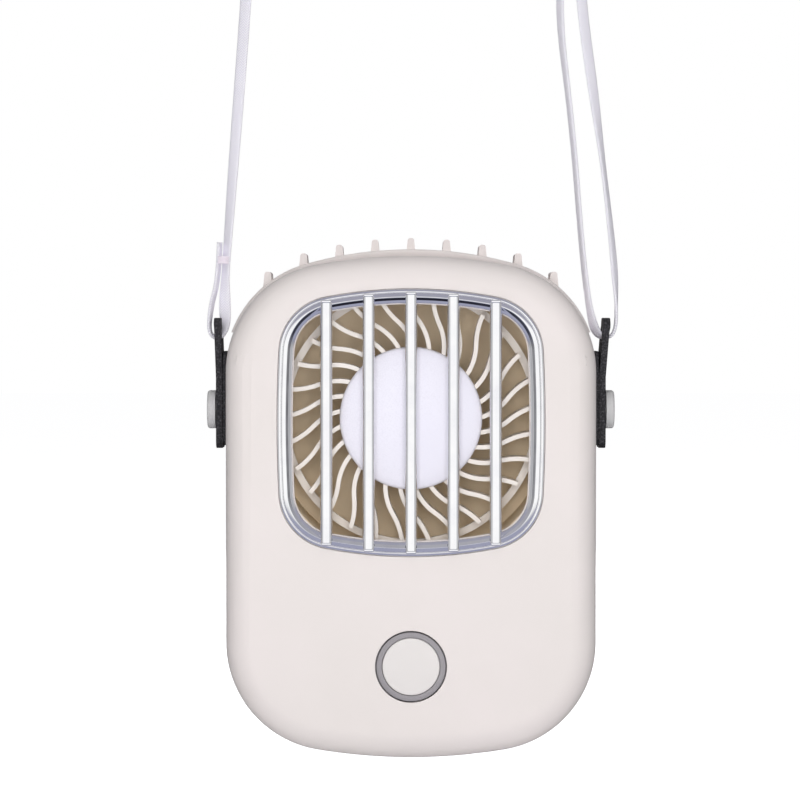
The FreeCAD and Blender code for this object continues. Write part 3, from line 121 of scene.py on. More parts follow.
def fill(tree, node, links):
    """Fills a node's sockets from values or from other sockets."""
    for socket, value in links.items():
        if isinstance(value, bpy.types.NodeSocket):
            tree.links.new(value, node.inputs[socket])
        else:
            node.inputs[socket].default_value = value


def add_node(tree, kind, links, **settings):
    """A node with its settings and its sockets filled."""
    node = tree.nodes.new("ShaderNode" + kind)
    for label, value in settings.items():
        setattr(node, label, value)
    fill(tree, node, links)
    return node


def noise(tree, place, scale, detail, roughness=0.5):
    """A soft noise, with its scale per metre."""
    links = {"Vector": place, "Scale": scale, "Detail": detail, "Roughness": roughness}
    return add_node(tree, "TexNoise", links).outputs["Fac"]


def spread(tree, value, low, high, first=0.0, last=1.0):
    """A range of values spread over another one, from 0 to 1 unless told otherwise."""
    links = {"Value": value, "From Min": low, "From Max": high, "To Min": first, "To Max": last}
    return add_node(tree, "MapRange", links).outputs["Result"]


def maths(tree, operation, *values):
    """The result of a sum on values and sockets."""
    return add_node(tree, "Math", dict(enumerate(values)), operation=operation).outputs["Value"]


def mixed(tree, share, first, second):
    """A colour between two colours."""
    links = {"Factor": share, "A": first, "B": second}
    return add_node(tree, "Mix", links, data_type="RGBA").outputs["Result"]


def ramp(tree, factor, stops):
    """A colour ramp node with (position, colour) stops."""
    node = add_node(tree, "ValToRGB", {"Fac": factor})
    elements = node.color_ramp.elements
    for element, (place, colour) in zip(elements, stops):
        element.position, element.color = place, colour
    for place, colour in stops[len(elements):]:
        elements.new(place).color = colour
    return node


def new_material(name):
    """A material with its principled shader and the object coordinates of its piece."""
    material = bpy.data.materials.new(name)
    material.use_nodes = True
    tree = material.node_tree
    shader = tree.nodes["Principled BSDF"]
    place = tree.nodes.new("ShaderNodeTexCoord").outputs["Object"]
    return material, tree, shader, place


def grouped_material(name, group, values, relief_strength, relief_depth):
    """A material whose colour, roughness and relief come from a group with the given values."""
    material, tree, shader, place = new_material(name)
    finish = add_node(tree, "Group", {"Place": place, **values}, node_tree=group)
    relief = add_node(tree, "Bump", {"Height": finish.outputs["Height"], "Strength": relief_strength,
                                     "Distance": relief_depth})
    fill(tree, shader, {"Base Color": finish.outputs["Colour"], "Roughness": finish.outputs["Roughness"],
                        "Normal": relief.outputs["Normal"]})
    return material, shader


SURFACE_OUTPUTS = [("Colour", "Color"), ("Roughness", "Float"), ("Height", "Float")]
print("helpers ready")

# %% [markdown]
# Moulded plastic is not one flat colour. The mould is etched with a fine grain that breaks up the
# highlight, and the colour drifts slightly where the melt flowed. A noise a few tenths of a millimetre
# wide gives the grain, and a wide soft noise gives the drift and patches of handling gloss.

# %% Moulded plastic
group, start, end = new_group(
    "moulded_plastic",
    [("Place", "Vector"), ("Colour", "Color"), ("Flow Colour", "Color"), ("Gloss", "Float"),
     ("Grain", "Float")],
    SURFACE_OUTPUTS)
drift = noise(group, start.outputs["Place"], 38.0, 3.0)
grain = noise(group, start.outputs["Place"], start.outputs["Grain"], 2.0, 0.6)
tint = mixed(group, spread(group, drift, 0.35, 0.68), start.outputs["Colour"], start.outputs["Flow Colour"])
speck = spread(group, grain, 0.3, 0.7, -0.05, 0.05)
patch = spread(group, drift, 0.3, 0.7, -0.04, 0.04)
rough = maths(group, "ADD", start.outputs["Gloss"], maths(group, "ADD", speck, patch))
fill(group, end, {"Colour": tint, "Roughness": rough, "Height": grain})
MOULDED, MOULDED_DEPTH = group, 0.0002


def plastic(name, colour, flow, gloss, grain_scale=4200.0, bump=0.06):
    """Moulded plastic: its colour, the colour it drifts to, its roughness and its grain per metre."""
    values = {"Colour": screen_colour(*colour), "Flow Colour": screen_colour(*flow), "Gloss": gloss,
              "Grain": grain_scale}
    return grouped_material(name, MOULDED, values, bump, MOULDED_DEPTH)[0]


finishes = {
    "shell_cream": plastic("shell_cream", (236, 228, 226), (233, 226, 223), 0.42),
    "hub_white": plastic("hub_white", (246, 244, 254), (243, 241, 252), 0.3),
    "impeller_cream": plastic("impeller_cream", (255, 249, 243), (252, 244, 236), 0.4),
    # The duct's tan, warmer and darker than the shell's cream, is painted shade: it stands for the warm
    # shade deep inside the housing.
    "duct_cream": plastic("duct_cream", (236, 218, 190), (230, 211, 182), 0.55),
    "button_cream": plastic("button_cream", (232, 227, 225), (229, 225, 223), 0.38),
    "ring_grey": plastic("ring_grey", (160, 156, 159), (154, 150, 154), 0.34),
    "stud_grey": plastic("stud_grey", (210, 209, 209), (203, 202, 203), 0.36),
    "clamp_clear": plastic("clamp_clear", (247, 240, 248), (243, 232, 243), 0.22),
    "switch_black": plastic("switch_black", (30, 30, 32), (36, 36, 38), 0.45),
    "magnet_black": plastic("magnet_black", (52, 50, 50), (44, 43, 44), 0.6, 1800.0, 0.25),
    "lead_red": plastic("lead_red", (168, 32, 30), (150, 26, 26), 0.4),
}
print("plastics:", len(finishes))

# %% [markdown]
# Bare and plated metals are mirrors with small faults. Plating over plastic is a little wavy and carries
# faint smudges; steel stampings are duller. One group varies the colour and the roughness with a soft
# noise and gives a low waviness as height, and every metal places it with its own colour.

# %% Metals
group, start, end = new_group(
    "metal_faults",
    [("Place", "Vector"), ("Colour", "Color"), ("Smudge Colour", "Color"), ("Gloss", "Float"),
     ("Spread", "Float")],
    SURFACE_OUTPUTS)
smudge = spread(group, noise(group, start.outputs["Place"], 160.0, 4.0), 0.42, 0.7)
wave = noise(group, start.outputs["Place"], 260.0, 1.0)
tint = mixed(group, smudge, start.outputs["Colour"], start.outputs["Smudge Colour"])
haze = maths(group, "MULTIPLY_ADD", smudge, start.outputs["Spread"], start.outputs["Gloss"])
fill(group, end, {"Colour": tint, "Roughness": haze, "Height": wave})
METAL_FAULTS, METAL_DEPTH = group, 0.0005


def metal(name, colour, smudge_colour, gloss, smudging, waviness=0.03):
    """A metal: its colour, the colour of its smudges, its roughness and how much smudges add to it."""
    values = {"Colour": screen_colour(*colour), "Smudge Colour": screen_colour(*smudge_colour),
              "Gloss": gloss, "Spread": smudging}
    material, shader = grouped_material(name, METAL_FAULTS, values, waviness, METAL_DEPTH)
    shader.inputs["Metallic"].default_value = 1.0
    return material


finishes.update({
    "grille_chrome": metal("grille_chrome", (251, 251, 252), (244, 244, 247), 0.03, 0.05),
    "motor_steel": metal("motor_steel", (176, 176, 180), (150, 150, 156), 0.3, 0.2, 0.06),
    "bearing_bronze": metal("bearing_bronze", (186, 140, 88), (160, 116, 70), 0.35, 0.2, 0.06),
    "coil_copper": metal("coil_copper", (198, 112, 64), (168, 88, 48), 0.32, 0.2, 0.1),
    "socket_steel": metal("socket_steel", (196, 196, 200), (170, 170, 176), 0.25, 0.15, 0.04),
    "cell_foil": metal("cell_foil", (205, 206, 210), (180, 182, 188), 0.38, 0.2, 0.2),
    "screw_steel": metal("screw_steel", (120, 120, 124), (90, 90, 94), 0.3, 0.25, 0.05),
})
print("plastics and metals:", len(finishes))

# %% [markdown]
# The circuit boards are hidden inside, but the part is also looked at taken apart. A green solder mask
# shows the copper tracks below it as slightly lighter lines, which a stretched brick pattern can give.

# %% Circuit board
material, tree, shader, place = new_material("board_green")
tracks = add_node(tree, "TexBrick", {"Vector": place, "Color1": screen_colour(28, 92, 58),
                                     "Color2": screen_colour(24, 84, 52),
                                     "Mortar": screen_colour(48, 120, 76),
                                     "Scale": 180.0, "Mortar Size": 0.03})
fill(tree, shader, {"Base Color": tracks.outputs["Color"],
                    "Roughness": spread(tree, tracks.outputs["Fac"], 0.0, 1.0, 0.3, 0.42)})
finishes["board_green"] = material
print("board finish ready")

# %% [markdown]
# Every solid takes the finish that its slot in the parts list names. The cord and the straps have no
# finish yet, so they are left out here. New pieces stand for some of the others later on.

# %% Dress the solids
SLOT_OF = {part["node"]: part["material_slot"] for part in frame["record"]["subparts"]}
dressed = 0
for node, slot_name in sorted(SLOT_OF.items()):
    if slot_name in finishes:
        mesh = frame["nodes"][node].data
        mesh.materials.clear()
        mesh.materials.append(finishes[slot_name])
        dressed += 1
print("solids with a finish:", dressed)

# %% [markdown]
# The cord is a flat braided tape, 2.6 mm wide. It is doubled through a slot in each leather tab, and
# both its ends are caught in small clear clamps. It could be a bevelled curve, but a curve can't turn its
# flat side where the real tape twists. So one smooth spline gives the line, and a strip of small
# sections is laid along it, each turned by its own angle. The turn is 0 where the flat side faces the
# front, and 90 degrees where the tape passes through a slot.

# %% Cord line
# Control points in millimetres, from the left clamp to the right one, and the tape's turn at each.
CORD_ROUTE = [
    (-40.95, 0.0, -96.7), (-41.2, 0.0, -104.6), (-42.9, 0.0, -110.5), (-43.4, 0.0, -117.1),
    (-39.6, 0.0, -117.1), (-39.9, 0.0, -110.0), (-39.7, 0.0, -102.0), (-35.2, 0.0, -45.1),
    (-34.6, 0.0, -32.0), (-31.0, 0.0, -14.0), (-17.5, 0.0, -2.15), (0.5, 0.0, 1.65),
    (18.5, 0.0, -1.95), (31.6, 0.0, -13.6), (35.9, 0.0, -31.0), (36.3, 0.0, -45.1),
    (40.3, 0.0, -73.0), (43.2, 0.0, -96.5), (44.2, 0.0, -110.0), (43.8, 0.0, -117.1),
    (39.95, 0.0, -117.1), (38.2, 0.0, -111.0), (36.6, 0.0, -97.5), (34.7, 0.0, -73.0),
    (31.2, 0.0, -45.1), (33.75, 0.0, -34.5), (32.85, 0.0, -26.0),
]
CORD_TURNS = [76, 76, 76, 84, 75, 15, 52, 25, 25, 25, 25, 25, 25, 25, 30, 30,
              32, 68, 60, 90, 90, 50, 70, 73, 72, 60, 40]
CORD_STEPS = 12


def smooth_line(route):
    """Points read along one smooth spline that has the route's points as its control points."""
    curve = bpy.data.curves.new("cord_line", "CURVE")
    curve.dimensions = "3D"
    spline = curve.splines.new("NURBS")
    spline.points.add(len(route) - 1)
    for point, place in zip(spline.points, route):
        point.co = (*[value / 1000.0 for value in place], 1.0)
    spline.order_u = 3
    spline.use_endpoint_u = True
    spline.resolution_u = CORD_STEPS
    holder = bpy.data.objects.new("cord_line", curve)
    mesh = bpy.data.meshes.new_from_object(holder)
    points = [vertex.co.copy() for vertex in mesh.vertices]
    bpy.data.objects.remove(holder)
    bpy.data.curves.remove(curve)
    bpy.data.meshes.remove(mesh)
    return points


cord_line = smooth_line(CORD_ROUTE)

# %% Cord tape
TAPE_WIDTH = 0.0026
TAPE_THICKNESS = 0.00075
SECTION_POINTS = 16
EDGE_SQUARENESS, FACE_SQUARENESS = 0.55, 0.75
FRONT_TO_BACK = Vector((0.0, 1.0, 0.0))


def tape_section(turn, line_side):
    """Places round the tape's section, with each one's distance across the tape."""
    across = line_side * math.cos(turn) + FRONT_TO_BACK * math.sin(turn)
    through = line_side * -math.sin(turn) + FRONT_TO_BACK * math.cos(turn)
    places = []
    for step in range(SECTION_POINTS):
        angle = 2 * math.pi * step / SECTION_POINTS
        right, up = math.cos(angle), math.sin(angle)
        wide = math.copysign(abs(right) ** EDGE_SQUARENESS, right) * TAPE_WIDTH / 2
        thick = math.copysign(abs(up) ** FACE_SQUARENESS, up) * TAPE_THICKNESS / 2
        places.append((across * wide + through * thick, wide))
    return places


def turn_at(index):
    """The tape's turn at a point of the line, eased between the route's points."""
    # The spline's pieces meet halfway between its control points.
    along = min(index / CORD_STEPS + 0.5, len(CORD_TURNS) - 1.001)
    low = int(along)
    share = along - low
    share = share * share * (3 - 2 * share)
    return math.radians(CORD_TURNS[low] * (1 - share) + CORD_TURNS[low + 1] * share)


def make_tape(name, line):
    """A closed tape along a line, with a map in millimetres along and across it."""
    mesh = bmesh.new()
    sheet = mesh.loops.layers.uv.new("cord")
    rings, travelled = [], 0.0
    for index, point in enumerate(line):
        before, after = line[max(index - 1, 0)], line[min(index + 1, len(line) - 1)]
        if index:
            travelled += (point - before).length
        heading = (after - before).normalized()
        side = heading.cross(FRONT_TO_BACK).normalized()
        rings.append([(mesh.verts.new(point + offset), travelled, wide)
                      for offset, wide in tape_section(turn_at(index), side)])
    for first, second in zip(rings, rings[1:]):
        for step in range(SECTION_POINTS):
            following = (step + 1) % SECTION_POINTS
            corners = (first[step], second[step], second[following], first[following])
            face = mesh.faces.new([corner[0] for corner in corners])
            face.smooth = True
            for loop, (vertex, along, wide) in zip(face.loops, corners):
                loop[sheet].uv = (along * 1000.0, wide * 1000.0)
    for ring in (rings[0], rings[-1]):
        mesh.faces.new([corner[0] for corner in ring])
    bmesh.ops.recalc_face_normals(mesh, faces=mesh.faces)
    data = bpy.data.meshes.new(name)
    mesh.to_mesh(data)
    mesh.free()
    tape = bpy.data.objects.new(name, data)
    bpy.context.scene.collection.objects.link(tape)
    return tape


cord = make_tape("cord_tape", cord_line)
print("tape faces:", len(cord.data.polygons))

# %% [markdown]
# The tape's braid is a row of chevrons: yarns slant one way in one column and the other way in the next.
# The tape's own map runs along it and across it in millimetres, so stripes on that map, folded at each
# column, make the chevrons. They raise the yarns, and darken the gaps between them a little as painted
# shade.

# %% Braid
COLUMN_WIDTH, YARN_SLANT, YARNS_ALONG = 0.65, 1.1, 11.0
material, tree, shader, place = new_material("cord_white")
chart = tree.nodes.new("ShaderNodeUVMap")
chart.uv_map = "cord"
parts = add_node(tree, "SeparateXYZ", {"Vector": chart.outputs["UV"]})
column = maths(tree, "PINGPONG", parts.outputs["Y"], COLUMN_WIDTH)
slant = maths(tree, "MULTIPLY_ADD", column, YARN_SLANT, parts.outputs["X"])
wave = maths(tree, "SINE", maths(tree, "MULTIPLY", slant, YARNS_ALONG))
fuzz = spread(tree, noise(tree, place, 900.0, 3.0), 0.3, 0.7, 0.75, 1.0)
height = maths(tree, "MULTIPLY", spread(tree, wave, -1.0, 0.6), fuzz)
# The ramp's darker low end is painted shade in the gaps between the yarns.
yarn_colour_and_gap_shade = ramp(tree, height, [(0.0, screen_colour(224, 220, 236)), (0.55, screen_colour(245, 243, 253)),
                            (1.0, screen_colour(250, 248, 255))])
relief = add_node(tree, "Bump", {"Height": height, "Strength": 0.35, "Distance": 0.00012})
fill(tree, shader, {"Base Color": yarn_colour_and_gap_shade.outputs["Color"], "Normal": relief.outputs["Normal"],
                    "Roughness": 0.85, "Subsurface Weight": 0.6, "Subsurface Radius": (1.0, 1.0, 1.0),
                    "Subsurface Scale": 0.0008})
finishes["cord_white"] = material
print("braid ready")

# %% [markdown]
# Most of the new pieces start as a primitive that is then worked on: edges are picked and rounded, planes
# cut it across, and other solids are taken out of it. A few helpers name these steps. The helper
# stand_for gives a finished piece its looks, puts it on its body and hides the solid it stands for.

# %% Helpers for modelling


def start_piece(add, name, **settings):
    """A new primitive, alone in the selection, with its place and scale in its mesh."""
    if bpy.context.object and bpy.context.object.mode != "OBJECT":
        bpy.ops.object.mode_set(mode="OBJECT")
    bpy.ops.object.select_all(action="DESELECT")
    add(**settings)
    piece = bpy.context.object
    piece.name = name
    piece.data.name = name
    bpy.ops.object.transform_apply(location=True, rotation=True, scale=True)
    return piece


def choose(piece, kind, test):
    """In edit mode, selects only the vertices, edges or faces that pass a test."""
    mesh = bmesh.from_edit_mesh(piece.data)
    bpy.ops.mesh.select_mode(type=kind)
    bpy.ops.mesh.select_all(action="DESELECT")
    for element in {"VERT": mesh.verts, "EDGE": mesh.edges, "FACE": mesh.faces}[kind]:
        if test(element):
            element.select_set(True)
    mesh.select_flush_mode()
    bmesh.update_edit_mesh(piece.data)


def cut_across(heights):
    """In edit mode, cuts the whole piece by level planes."""
    for height in heights:
        bpy.ops.mesh.select_all(action="SELECT")
        bpy.ops.mesh.bisect(plane_co=(0.0, 0.0, height), plane_no=(0.0, 0.0, 1.0), use_fill=False)


def take(piece):
    """Makes a piece the only one selected, and the active one."""
    bpy.ops.object.select_all(action="DESELECT")
    piece.select_set(True)
    bpy.context.view_layer.objects.active = piece


def apply_modifier(piece, kind, **settings):
    """Adds a modifier with its settings and applies it at once."""
    bpy.context.view_layer.objects.active = piece
    modifier = piece.modifiers.new(kind.lower(), kind)
    for label, value in settings.items():
        setattr(modifier, label, value)
    bpy.ops.object.modifier_apply(modifier=modifier.name)


def soften_edges(piece, width, segments, degrees):
    """Rounds every edge that is sharper than an angle."""
    apply_modifier(piece, "BEVEL", width=width, segments=segments, limit_method="ANGLE",
                   angle_limit=math.radians(degrees))


def punch(piece, cutter):
    """Takes the cutter's solid out of the piece."""
    apply_modifier(piece, "BOOLEAN", operation="DIFFERENCE", object=cutter, solver="EXACT")
    bpy.data.objects.remove(cutter)


def smooth_by_angle(piece, degrees):
    """Shades a piece smooth, except at edges sharper than an angle."""
    take(piece)
    bpy.ops.object.shade_smooth_by_angle(angle=math.radians(degrees))


def stand_for(piece, body, node, slot, finish=None):
    """Gives a piece the finish of its slot, or the finish named, puts it on its body and hides the solid it
    replaces.
    """
    piece.data.materials.clear()
    piece.data.materials.append(finishes[finish or slot])
    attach(piece, body)
    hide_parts(node)


def runs_along(edge, axis):
    """Whether an edge lies along an axis."""
    line = edge.verts[1].co - edge.verts[0].co
    return line.length > 0 and abs(line[axis]) > 0.99 * line.length


def rounded_box(name, middle, size, radius, segments, test):
    """A box with the edges that pass a test rounded off."""
    box = start_piece(bpy.ops.mesh.primitive_cube_add, name, size=1.0, location=middle, scale=size)
    bpy.ops.object.mode_set(mode="EDIT")
    choose(box, "EDGE", test)
    bpy.ops.mesh.bevel(offset=radius, segments=segments, affect="EDGES")
    bpy.ops.object.mode_set(mode="OBJECT")
    return box


print("modelling helpers ready")

# %% [markdown]
# Each clamp is a little moulded sleeve, squeezed round two strands of tape. A cube is scaled to the
# sleeve's size, cut round its middle and drawn in there, and all its edges are rounded.

# %% Cord clamps
# Each sleeve's middle, its lean in degrees and its size.
CLAMPS = {
    "cord_clamp_left": ((-0.0402, 0.0, -0.1005), 2.2, (0.0029, 0.0032, 0.0016)),
    "cord_clamp_right": ((0.0341, 0.0, -0.0283), -8.5, (0.0038, 0.0032, 0.0017)),
}
SLEEVE_CORNER, SLEEVE_EDGE = 0.0011, 0.00016
WAIST_REACH, WAIST_SCALE = 0.0004, (0.93, 0.86, 1.0)
MOUTH_WALL, MOUTH_DEPTH = 0.0004, 0.00025
for node, (middle, lean, sleeve) in CLAMPS.items():
    clamp = rounded_box(node + "_sleeve", (0.0, 0.0, 0.0), sleeve, SLEEVE_CORNER, 6,
                        lambda edge: runs_along(edge, 2))
    bpy.ops.object.mode_set(mode="EDIT")
    cut_across((-WAIST_REACH, 0.0, WAIST_REACH))
    choose(clamp, "VERT", lambda vertex: abs(vertex.co.z) < WAIST_REACH / 2)
    bpy.ops.transform.resize(value=WAIST_SCALE)
    choose(clamp, "FACE", lambda face: abs(face.normal.z) > 0.9)
    bpy.ops.mesh.inset(thickness=MOUTH_WALL)
    bpy.ops.mesh.extrude_region_shrink_fatten(TRANSFORM_OT_shrink_fatten={"value": -MOUTH_DEPTH})
    bpy.ops.object.mode_set(mode="OBJECT")
    soften_edges(clamp, SLEEVE_EDGE, 3, 40)
    clamp.rotation_euler = (0.0, math.radians(lean), 0.0)
    clamp.location = middle
    bpy.ops.object.transform_apply(location=True, rotation=True, scale=True)
    smooth_by_angle(clamp, 40)
    stand_for(clamp, "lanyard", node, "clamp_clear")
    print(node, "faces:", len(clamp.data.polygons))

# %% Cord in place
stand_for(cord, "lanyard", "neck_cord", "cord_white")

# %% [markdown]
# The straps are two layers of black leather on each side: a short pad against the housing and a longer
# tab that leans out at its top, where the cord goes through a slot. Each is a block with rounded
# corners. Cutting the tab into short lengths lets its top bend in small steps, and the holes are taken
# out by subtracting other solids. Both sides are made the same way and the left one is mirrored, but the
# left tab leans out less, as it does in the photograph.

# %% Leather
material, tree, shader, place = new_material("strap_black")
pores = add_node(tree, "TexVoronoi", {"Vector": place, "Scale": 1500.0}, feature="DISTANCE_TO_EDGE")
creases = noise(tree, place, 420.0, 5.0, 0.65)
pebble = maths(tree, "MULTIPLY", spread(tree, pores.outputs["Distance"], 0.0, 0.28), creases)
hide = ramp(tree, pebble, [(0.0, screen_colour(28, 28, 30)), (0.35, screen_colour(50, 48, 51)),
                           (0.8, screen_colour(66, 65, 68))])
parts = add_node(tree, "SeparateXYZ", {"Vector": place})
edge = spread(tree, maths(tree, "ABSOLUTE", parts.outputs["Y"]), 0.0046, 0.0049)
specks = spread(tree, noise(tree, place, 2600.0, 2.0), 0.56, 0.68)
worn = mixed(tree, maths(tree, "MULTIPLY", specks, edge), hide.outputs["Color"], screen_colour(92, 92, 96))
relief = add_node(tree, "Bump", {"Height": pebble, "Strength": 0.5, "Distance": 0.00015})
fill(tree, shader, {"Base Color": worn, "Roughness": spread(tree, pebble, 0.0, 1.0, 0.68, 0.42),
                    "Normal": relief.outputs["Normal"]})
finishes["strap_black"] = material
print("leather ready")

# %% Strap shapes
STUD_HEIGHT = -0.1325
STRAP_HALF = 0.005
PAD_SPAN = (0.03925, 0.0401)
TAB_SPAN = (0.0401, 0.04155)
PAD_ENDS = (STUD_HEIGHT - 0.0076, STUD_HEIGHT + 0.0125)
TAB_ENDS = (STUD_HEIGHT - 0.0082, STUD_HEIGHT + 0.0196)
TAB_BEND = STUD_HEIGHT + 0.0070
TAB_LEAN = {"right": 0.0010, "left": 0.00045}
BEND_STEPS = 8
LEATHER_CORNER, LEATHER_EDGE = 0.002, 0.0002
STUD_HOLE, PUNCH_LENGTH = 0.00196, 0.02
SLOT_MIDDLE = (0.0415, 0.0, STUD_HEIGHT + 0.0158)
SLOT_SIZE, SLOT_CORNER = (0.01, 0.0038, 0.0028), 0.00135


def leather_block(name, span, ends):
    """A flat block of leather with rounded corners, on the right side of the housing."""
    return rounded_box(name, (sum(span) / 2, 0.0, sum(ends) / 2),
                       (span[1] - span[0], 2 * STRAP_HALF, ends[1] - ends[0]), LEATHER_CORNER, 6,
                       lambda edge: runs_along(edge, 0))


def stud_punch():
    """A rod the size of the stud's hole, long enough to go through both layers."""
    return start_piece(bpy.ops.mesh.primitive_cylinder_add, "stud_punch", radius=STUD_HOLE,
                       depth=PUNCH_LENGTH, vertices=40, location=(0.04, 0.0, STUD_HEIGHT),
                       rotation=(0.0, math.pi / 2, 0.0))


def slot_punch():
    """A bar with rounded corners, the size of the slot that the cord goes through."""
    return rounded_box("slot_punch", SLOT_MIDDLE, SLOT_SIZE, SLOT_CORNER, 8,
                       lambda edge: runs_along(edge, 0))


def leather_pad(name):
    """A pad with its stud hole."""
    pad = leather_block(name, PAD_SPAN, PAD_ENDS)
    punch(pad, stud_punch())
    return pad


def leather_tab(name, lean):
    """A tab whose top is pushed outwards in small steps, with its two holes."""
    tab = leather_block(name, TAB_SPAN, TAB_ENDS)
    bpy.ops.object.mode_set(mode="EDIT")
    bends = [TAB_BEND + step * (TAB_ENDS[1] - TAB_BEND) / BEND_STEPS for step in range(BEND_STEPS)]
    cut_across(bends)
    for low in bends:
        choose(tab, "VERT", lambda vertex: vertex.co.z > low + 1e-6)
        bpy.ops.transform.translate(value=(lean / BEND_STEPS, 0.0, 0.0))
    bpy.ops.object.mode_set(mode="OBJECT")
    punch(tab, stud_punch())
    punch(tab, slot_punch())
    return tab


print("tab length", round(TAB_ENDS[1] - TAB_ENDS[0], 4))

# %% Straps on both sides
for side, lean in TAB_LEAN.items():
    for piece, node in ((leather_pad(f"strap_pad_{side}_leather"), f"strap_pad_{side}"),
                        (leather_tab(f"strap_tab_{side}_leather", lean), f"strap_tab_{side}")):
        soften_edges(piece, LEATHER_EDGE, 3, 40)
        if side == "left":
            piece.data.transform(Matrix.Scale(-1.0, 4, (1.0, 0.0, 0.0)))
            piece.data.flip_normals()
        smooth_by_angle(piece, 35)
        stand_for(piece, "lanyard", node, "strap_black")
        print(piece.name, "faces:", len(piece.data.polygons))

# %% [markdown]
# The grille is one plated moulding: a rounded frame with two beads, and five bars across it.
# The frame's outline is made of eight arcs, so growing or shrinking it keeps the arcs' centres.
# A circle is laid on that outline, and its edge is extruded ring by ring along the beads' profile.

# %% Grille outline
# Millimetres from the fan's axis, and the radii of the arcs.
GRILLE_HALF, GRILLE_TOP, GRILLE_BOTTOM = 28.0, 27.2, -28.8
CROWN, SIDE_BOW, CORNER = 93.0, 297.0, 12.0


def corner_middle():
    """The centre of the upper right corner's arc, tangent inside the bowed top and side."""
    crown_middle = Vector((0.0, GRILLE_TOP - CROWN))
    side_middle = Vector((GRILLE_HALF - SIDE_BOW, (GRILLE_TOP + GRILLE_BOTTOM) / 2))
    line = crown_middle - side_middle
    reach, other = SIDE_BOW - CORNER, CROWN - CORNER
    share = (line.length ** 2 + reach ** 2 - other ** 2) / (2 * line.length)
    line.normalize()
    aside = Vector((-line.y, line.x)) * math.sqrt(reach ** 2 - share ** 2)
    foot = side_middle + line * share
    return max((foot + aside, foot - aside), key=lambda point: point.y), crown_middle, side_middle


def grille_arcs():
    """The outline as (centre, radius, first angle, last angle, steps), anticlockwise from the right."""
    corner, crown, side = corner_middle()
    level = (GRILLE_TOP + GRILLE_BOTTOM) / 2
    lean = math.atan2(corner.y - side.y, corner.x - side.x)
    rise = math.atan2(corner.y - crown.y, corner.x - crown.x)
    arcs = [(side, SIDE_BOW, 0.0, lean, 14), (corner, CORNER, lean, rise, 22),
            (crown, CROWN, rise, math.pi / 2, 18)]
    arcs += [(Vector((-c.x, c.y)), r, math.pi - b, math.pi - a, n) for c, r, a, b, n in reversed(arcs)]
    arcs += [(Vector((c.x, 2 * level - c.y)), r, 2 * math.pi - b, 2 * math.pi - a, n)
             for c, r, a, b, n in reversed(arcs)]
    return arcs


def grille_ring(grow, depth):
    """Places round the outline, grown by so many millimetres, at a depth in front of the cord's plane."""
    places = []
    for middle, radius, first, last, steps in grille_arcs():
        for step in range(steps):
            angle = first + (last - first) * step / steps
            across = middle.x + (radius + grow) * math.cos(angle)
            up = middle.y + (radius + grow) * math.sin(angle)
            places.append(Vector((across, depth, up)) / 1000.0 + Vector((0.0, 0.0, AXIS_HEIGHT)))
    return places


print("outline points:", len(grille_ring(0.0, 0.0)))

# %% Grille frame
# How far each ring is grown from the outline, and its depth, in millimetres.
BEAD_PROFILE = [
    (0.0, -17.8), (0.0, -18.98), (-0.05, -19.13), (-0.15, -19.24), (-0.26, -19.3), (-0.64, -19.38),
    (-0.72, -19.36), (-0.78, -19.3), (-0.83, -19.34), (-0.88, -19.46), (-0.96, -19.54), (-1.06, -19.57),
    (-1.72, -19.7), (-1.78, -19.7), (-1.82, -19.68), (-1.86, -19.65), (-2.36, -19.18), (-2.4, -19.15),
    (-2.45, -19.13), (-2.9, -18.96), (-2.97, -18.91), (-3.0, -18.82), (-3.0, -17.8),
]


def lay_on(piece, places):
    """In edit mode, lays the selected ring of vertices on the given places, in turn round the axis."""
    mesh = bmesh.from_edit_mesh(piece.data)
    ring = [vertex for vertex in mesh.verts if vertex.select]
    ring.sort(key=lambda vertex: math.atan2(vertex.co.z - AXIS_HEIGHT, vertex.co.x) % (2 * math.pi))
    ordered = sorted(places, key=lambda place: math.atan2(place.z - AXIS_HEIGHT, place.x) % (2 * math.pi))
    for vertex, place in zip(ring, ordered):
        vertex.co = place
    bmesh.update_edit_mesh(piece.data)


first_ring = grille_ring(*BEAD_PROFILE[0])
grille = start_piece(bpy.ops.mesh.primitive_circle_add, "plated_grille", vertices=len(first_ring),
                     radius=GRILLE_HALF / 1000.0, location=(0.0, 0.0, AXIS_HEIGHT),
                     rotation=(math.pi / 2, 0.0, 0.0))
bpy.ops.object.mode_set(mode="EDIT")
bpy.ops.mesh.select_mode(type="VERT")
bpy.ops.mesh.select_all(action="SELECT")
lay_on(grille, first_ring)
for grow, depth in BEAD_PROFILE[1:]:
    bpy.ops.mesh.extrude_region_move()
    lay_on(grille, grille_ring(grow, depth))
choose(grille, "EDGE", lambda edge: edge.is_boundary)
bpy.ops.mesh.bridge_edge_loops()
bpy.ops.mesh.select_all(action="SELECT")
bpy.ops.mesh.normals_make_consistent(inside=False)
bpy.ops.object.mode_set(mode="OBJECT")
print("frame faces:", len(grille.data.polygons))

# %% Grille bars
BAR_PITCH, BAR_WIDTH, BAR_FRONT, BAR_BACK = 0.00885, 0.0025, -0.0202, -0.0176
BAR_END, BAR_ROUNDING = 0.95, 0.0008
BAR_CUTS = (0.0003, 0.0006)
HEAD_SIZE, HEAD_DEPTH, HEAD_ROUNDING = (0.0021, 0.0016, 0.0007), -0.01945, 0.00018
GRILLE_EDGE = 0.00012


def bar_end(across, upper):
    """Height of a bar's end, just inside the frame's outer edge."""
    reach = math.sqrt((CROWN - BAR_END) ** 2 - (across * 1000.0) ** 2)
    local = GRILLE_TOP - CROWN + reach if upper else GRILLE_BOTTOM + CROWN - reach
    return AXIS_HEIGHT + local / 1000.0


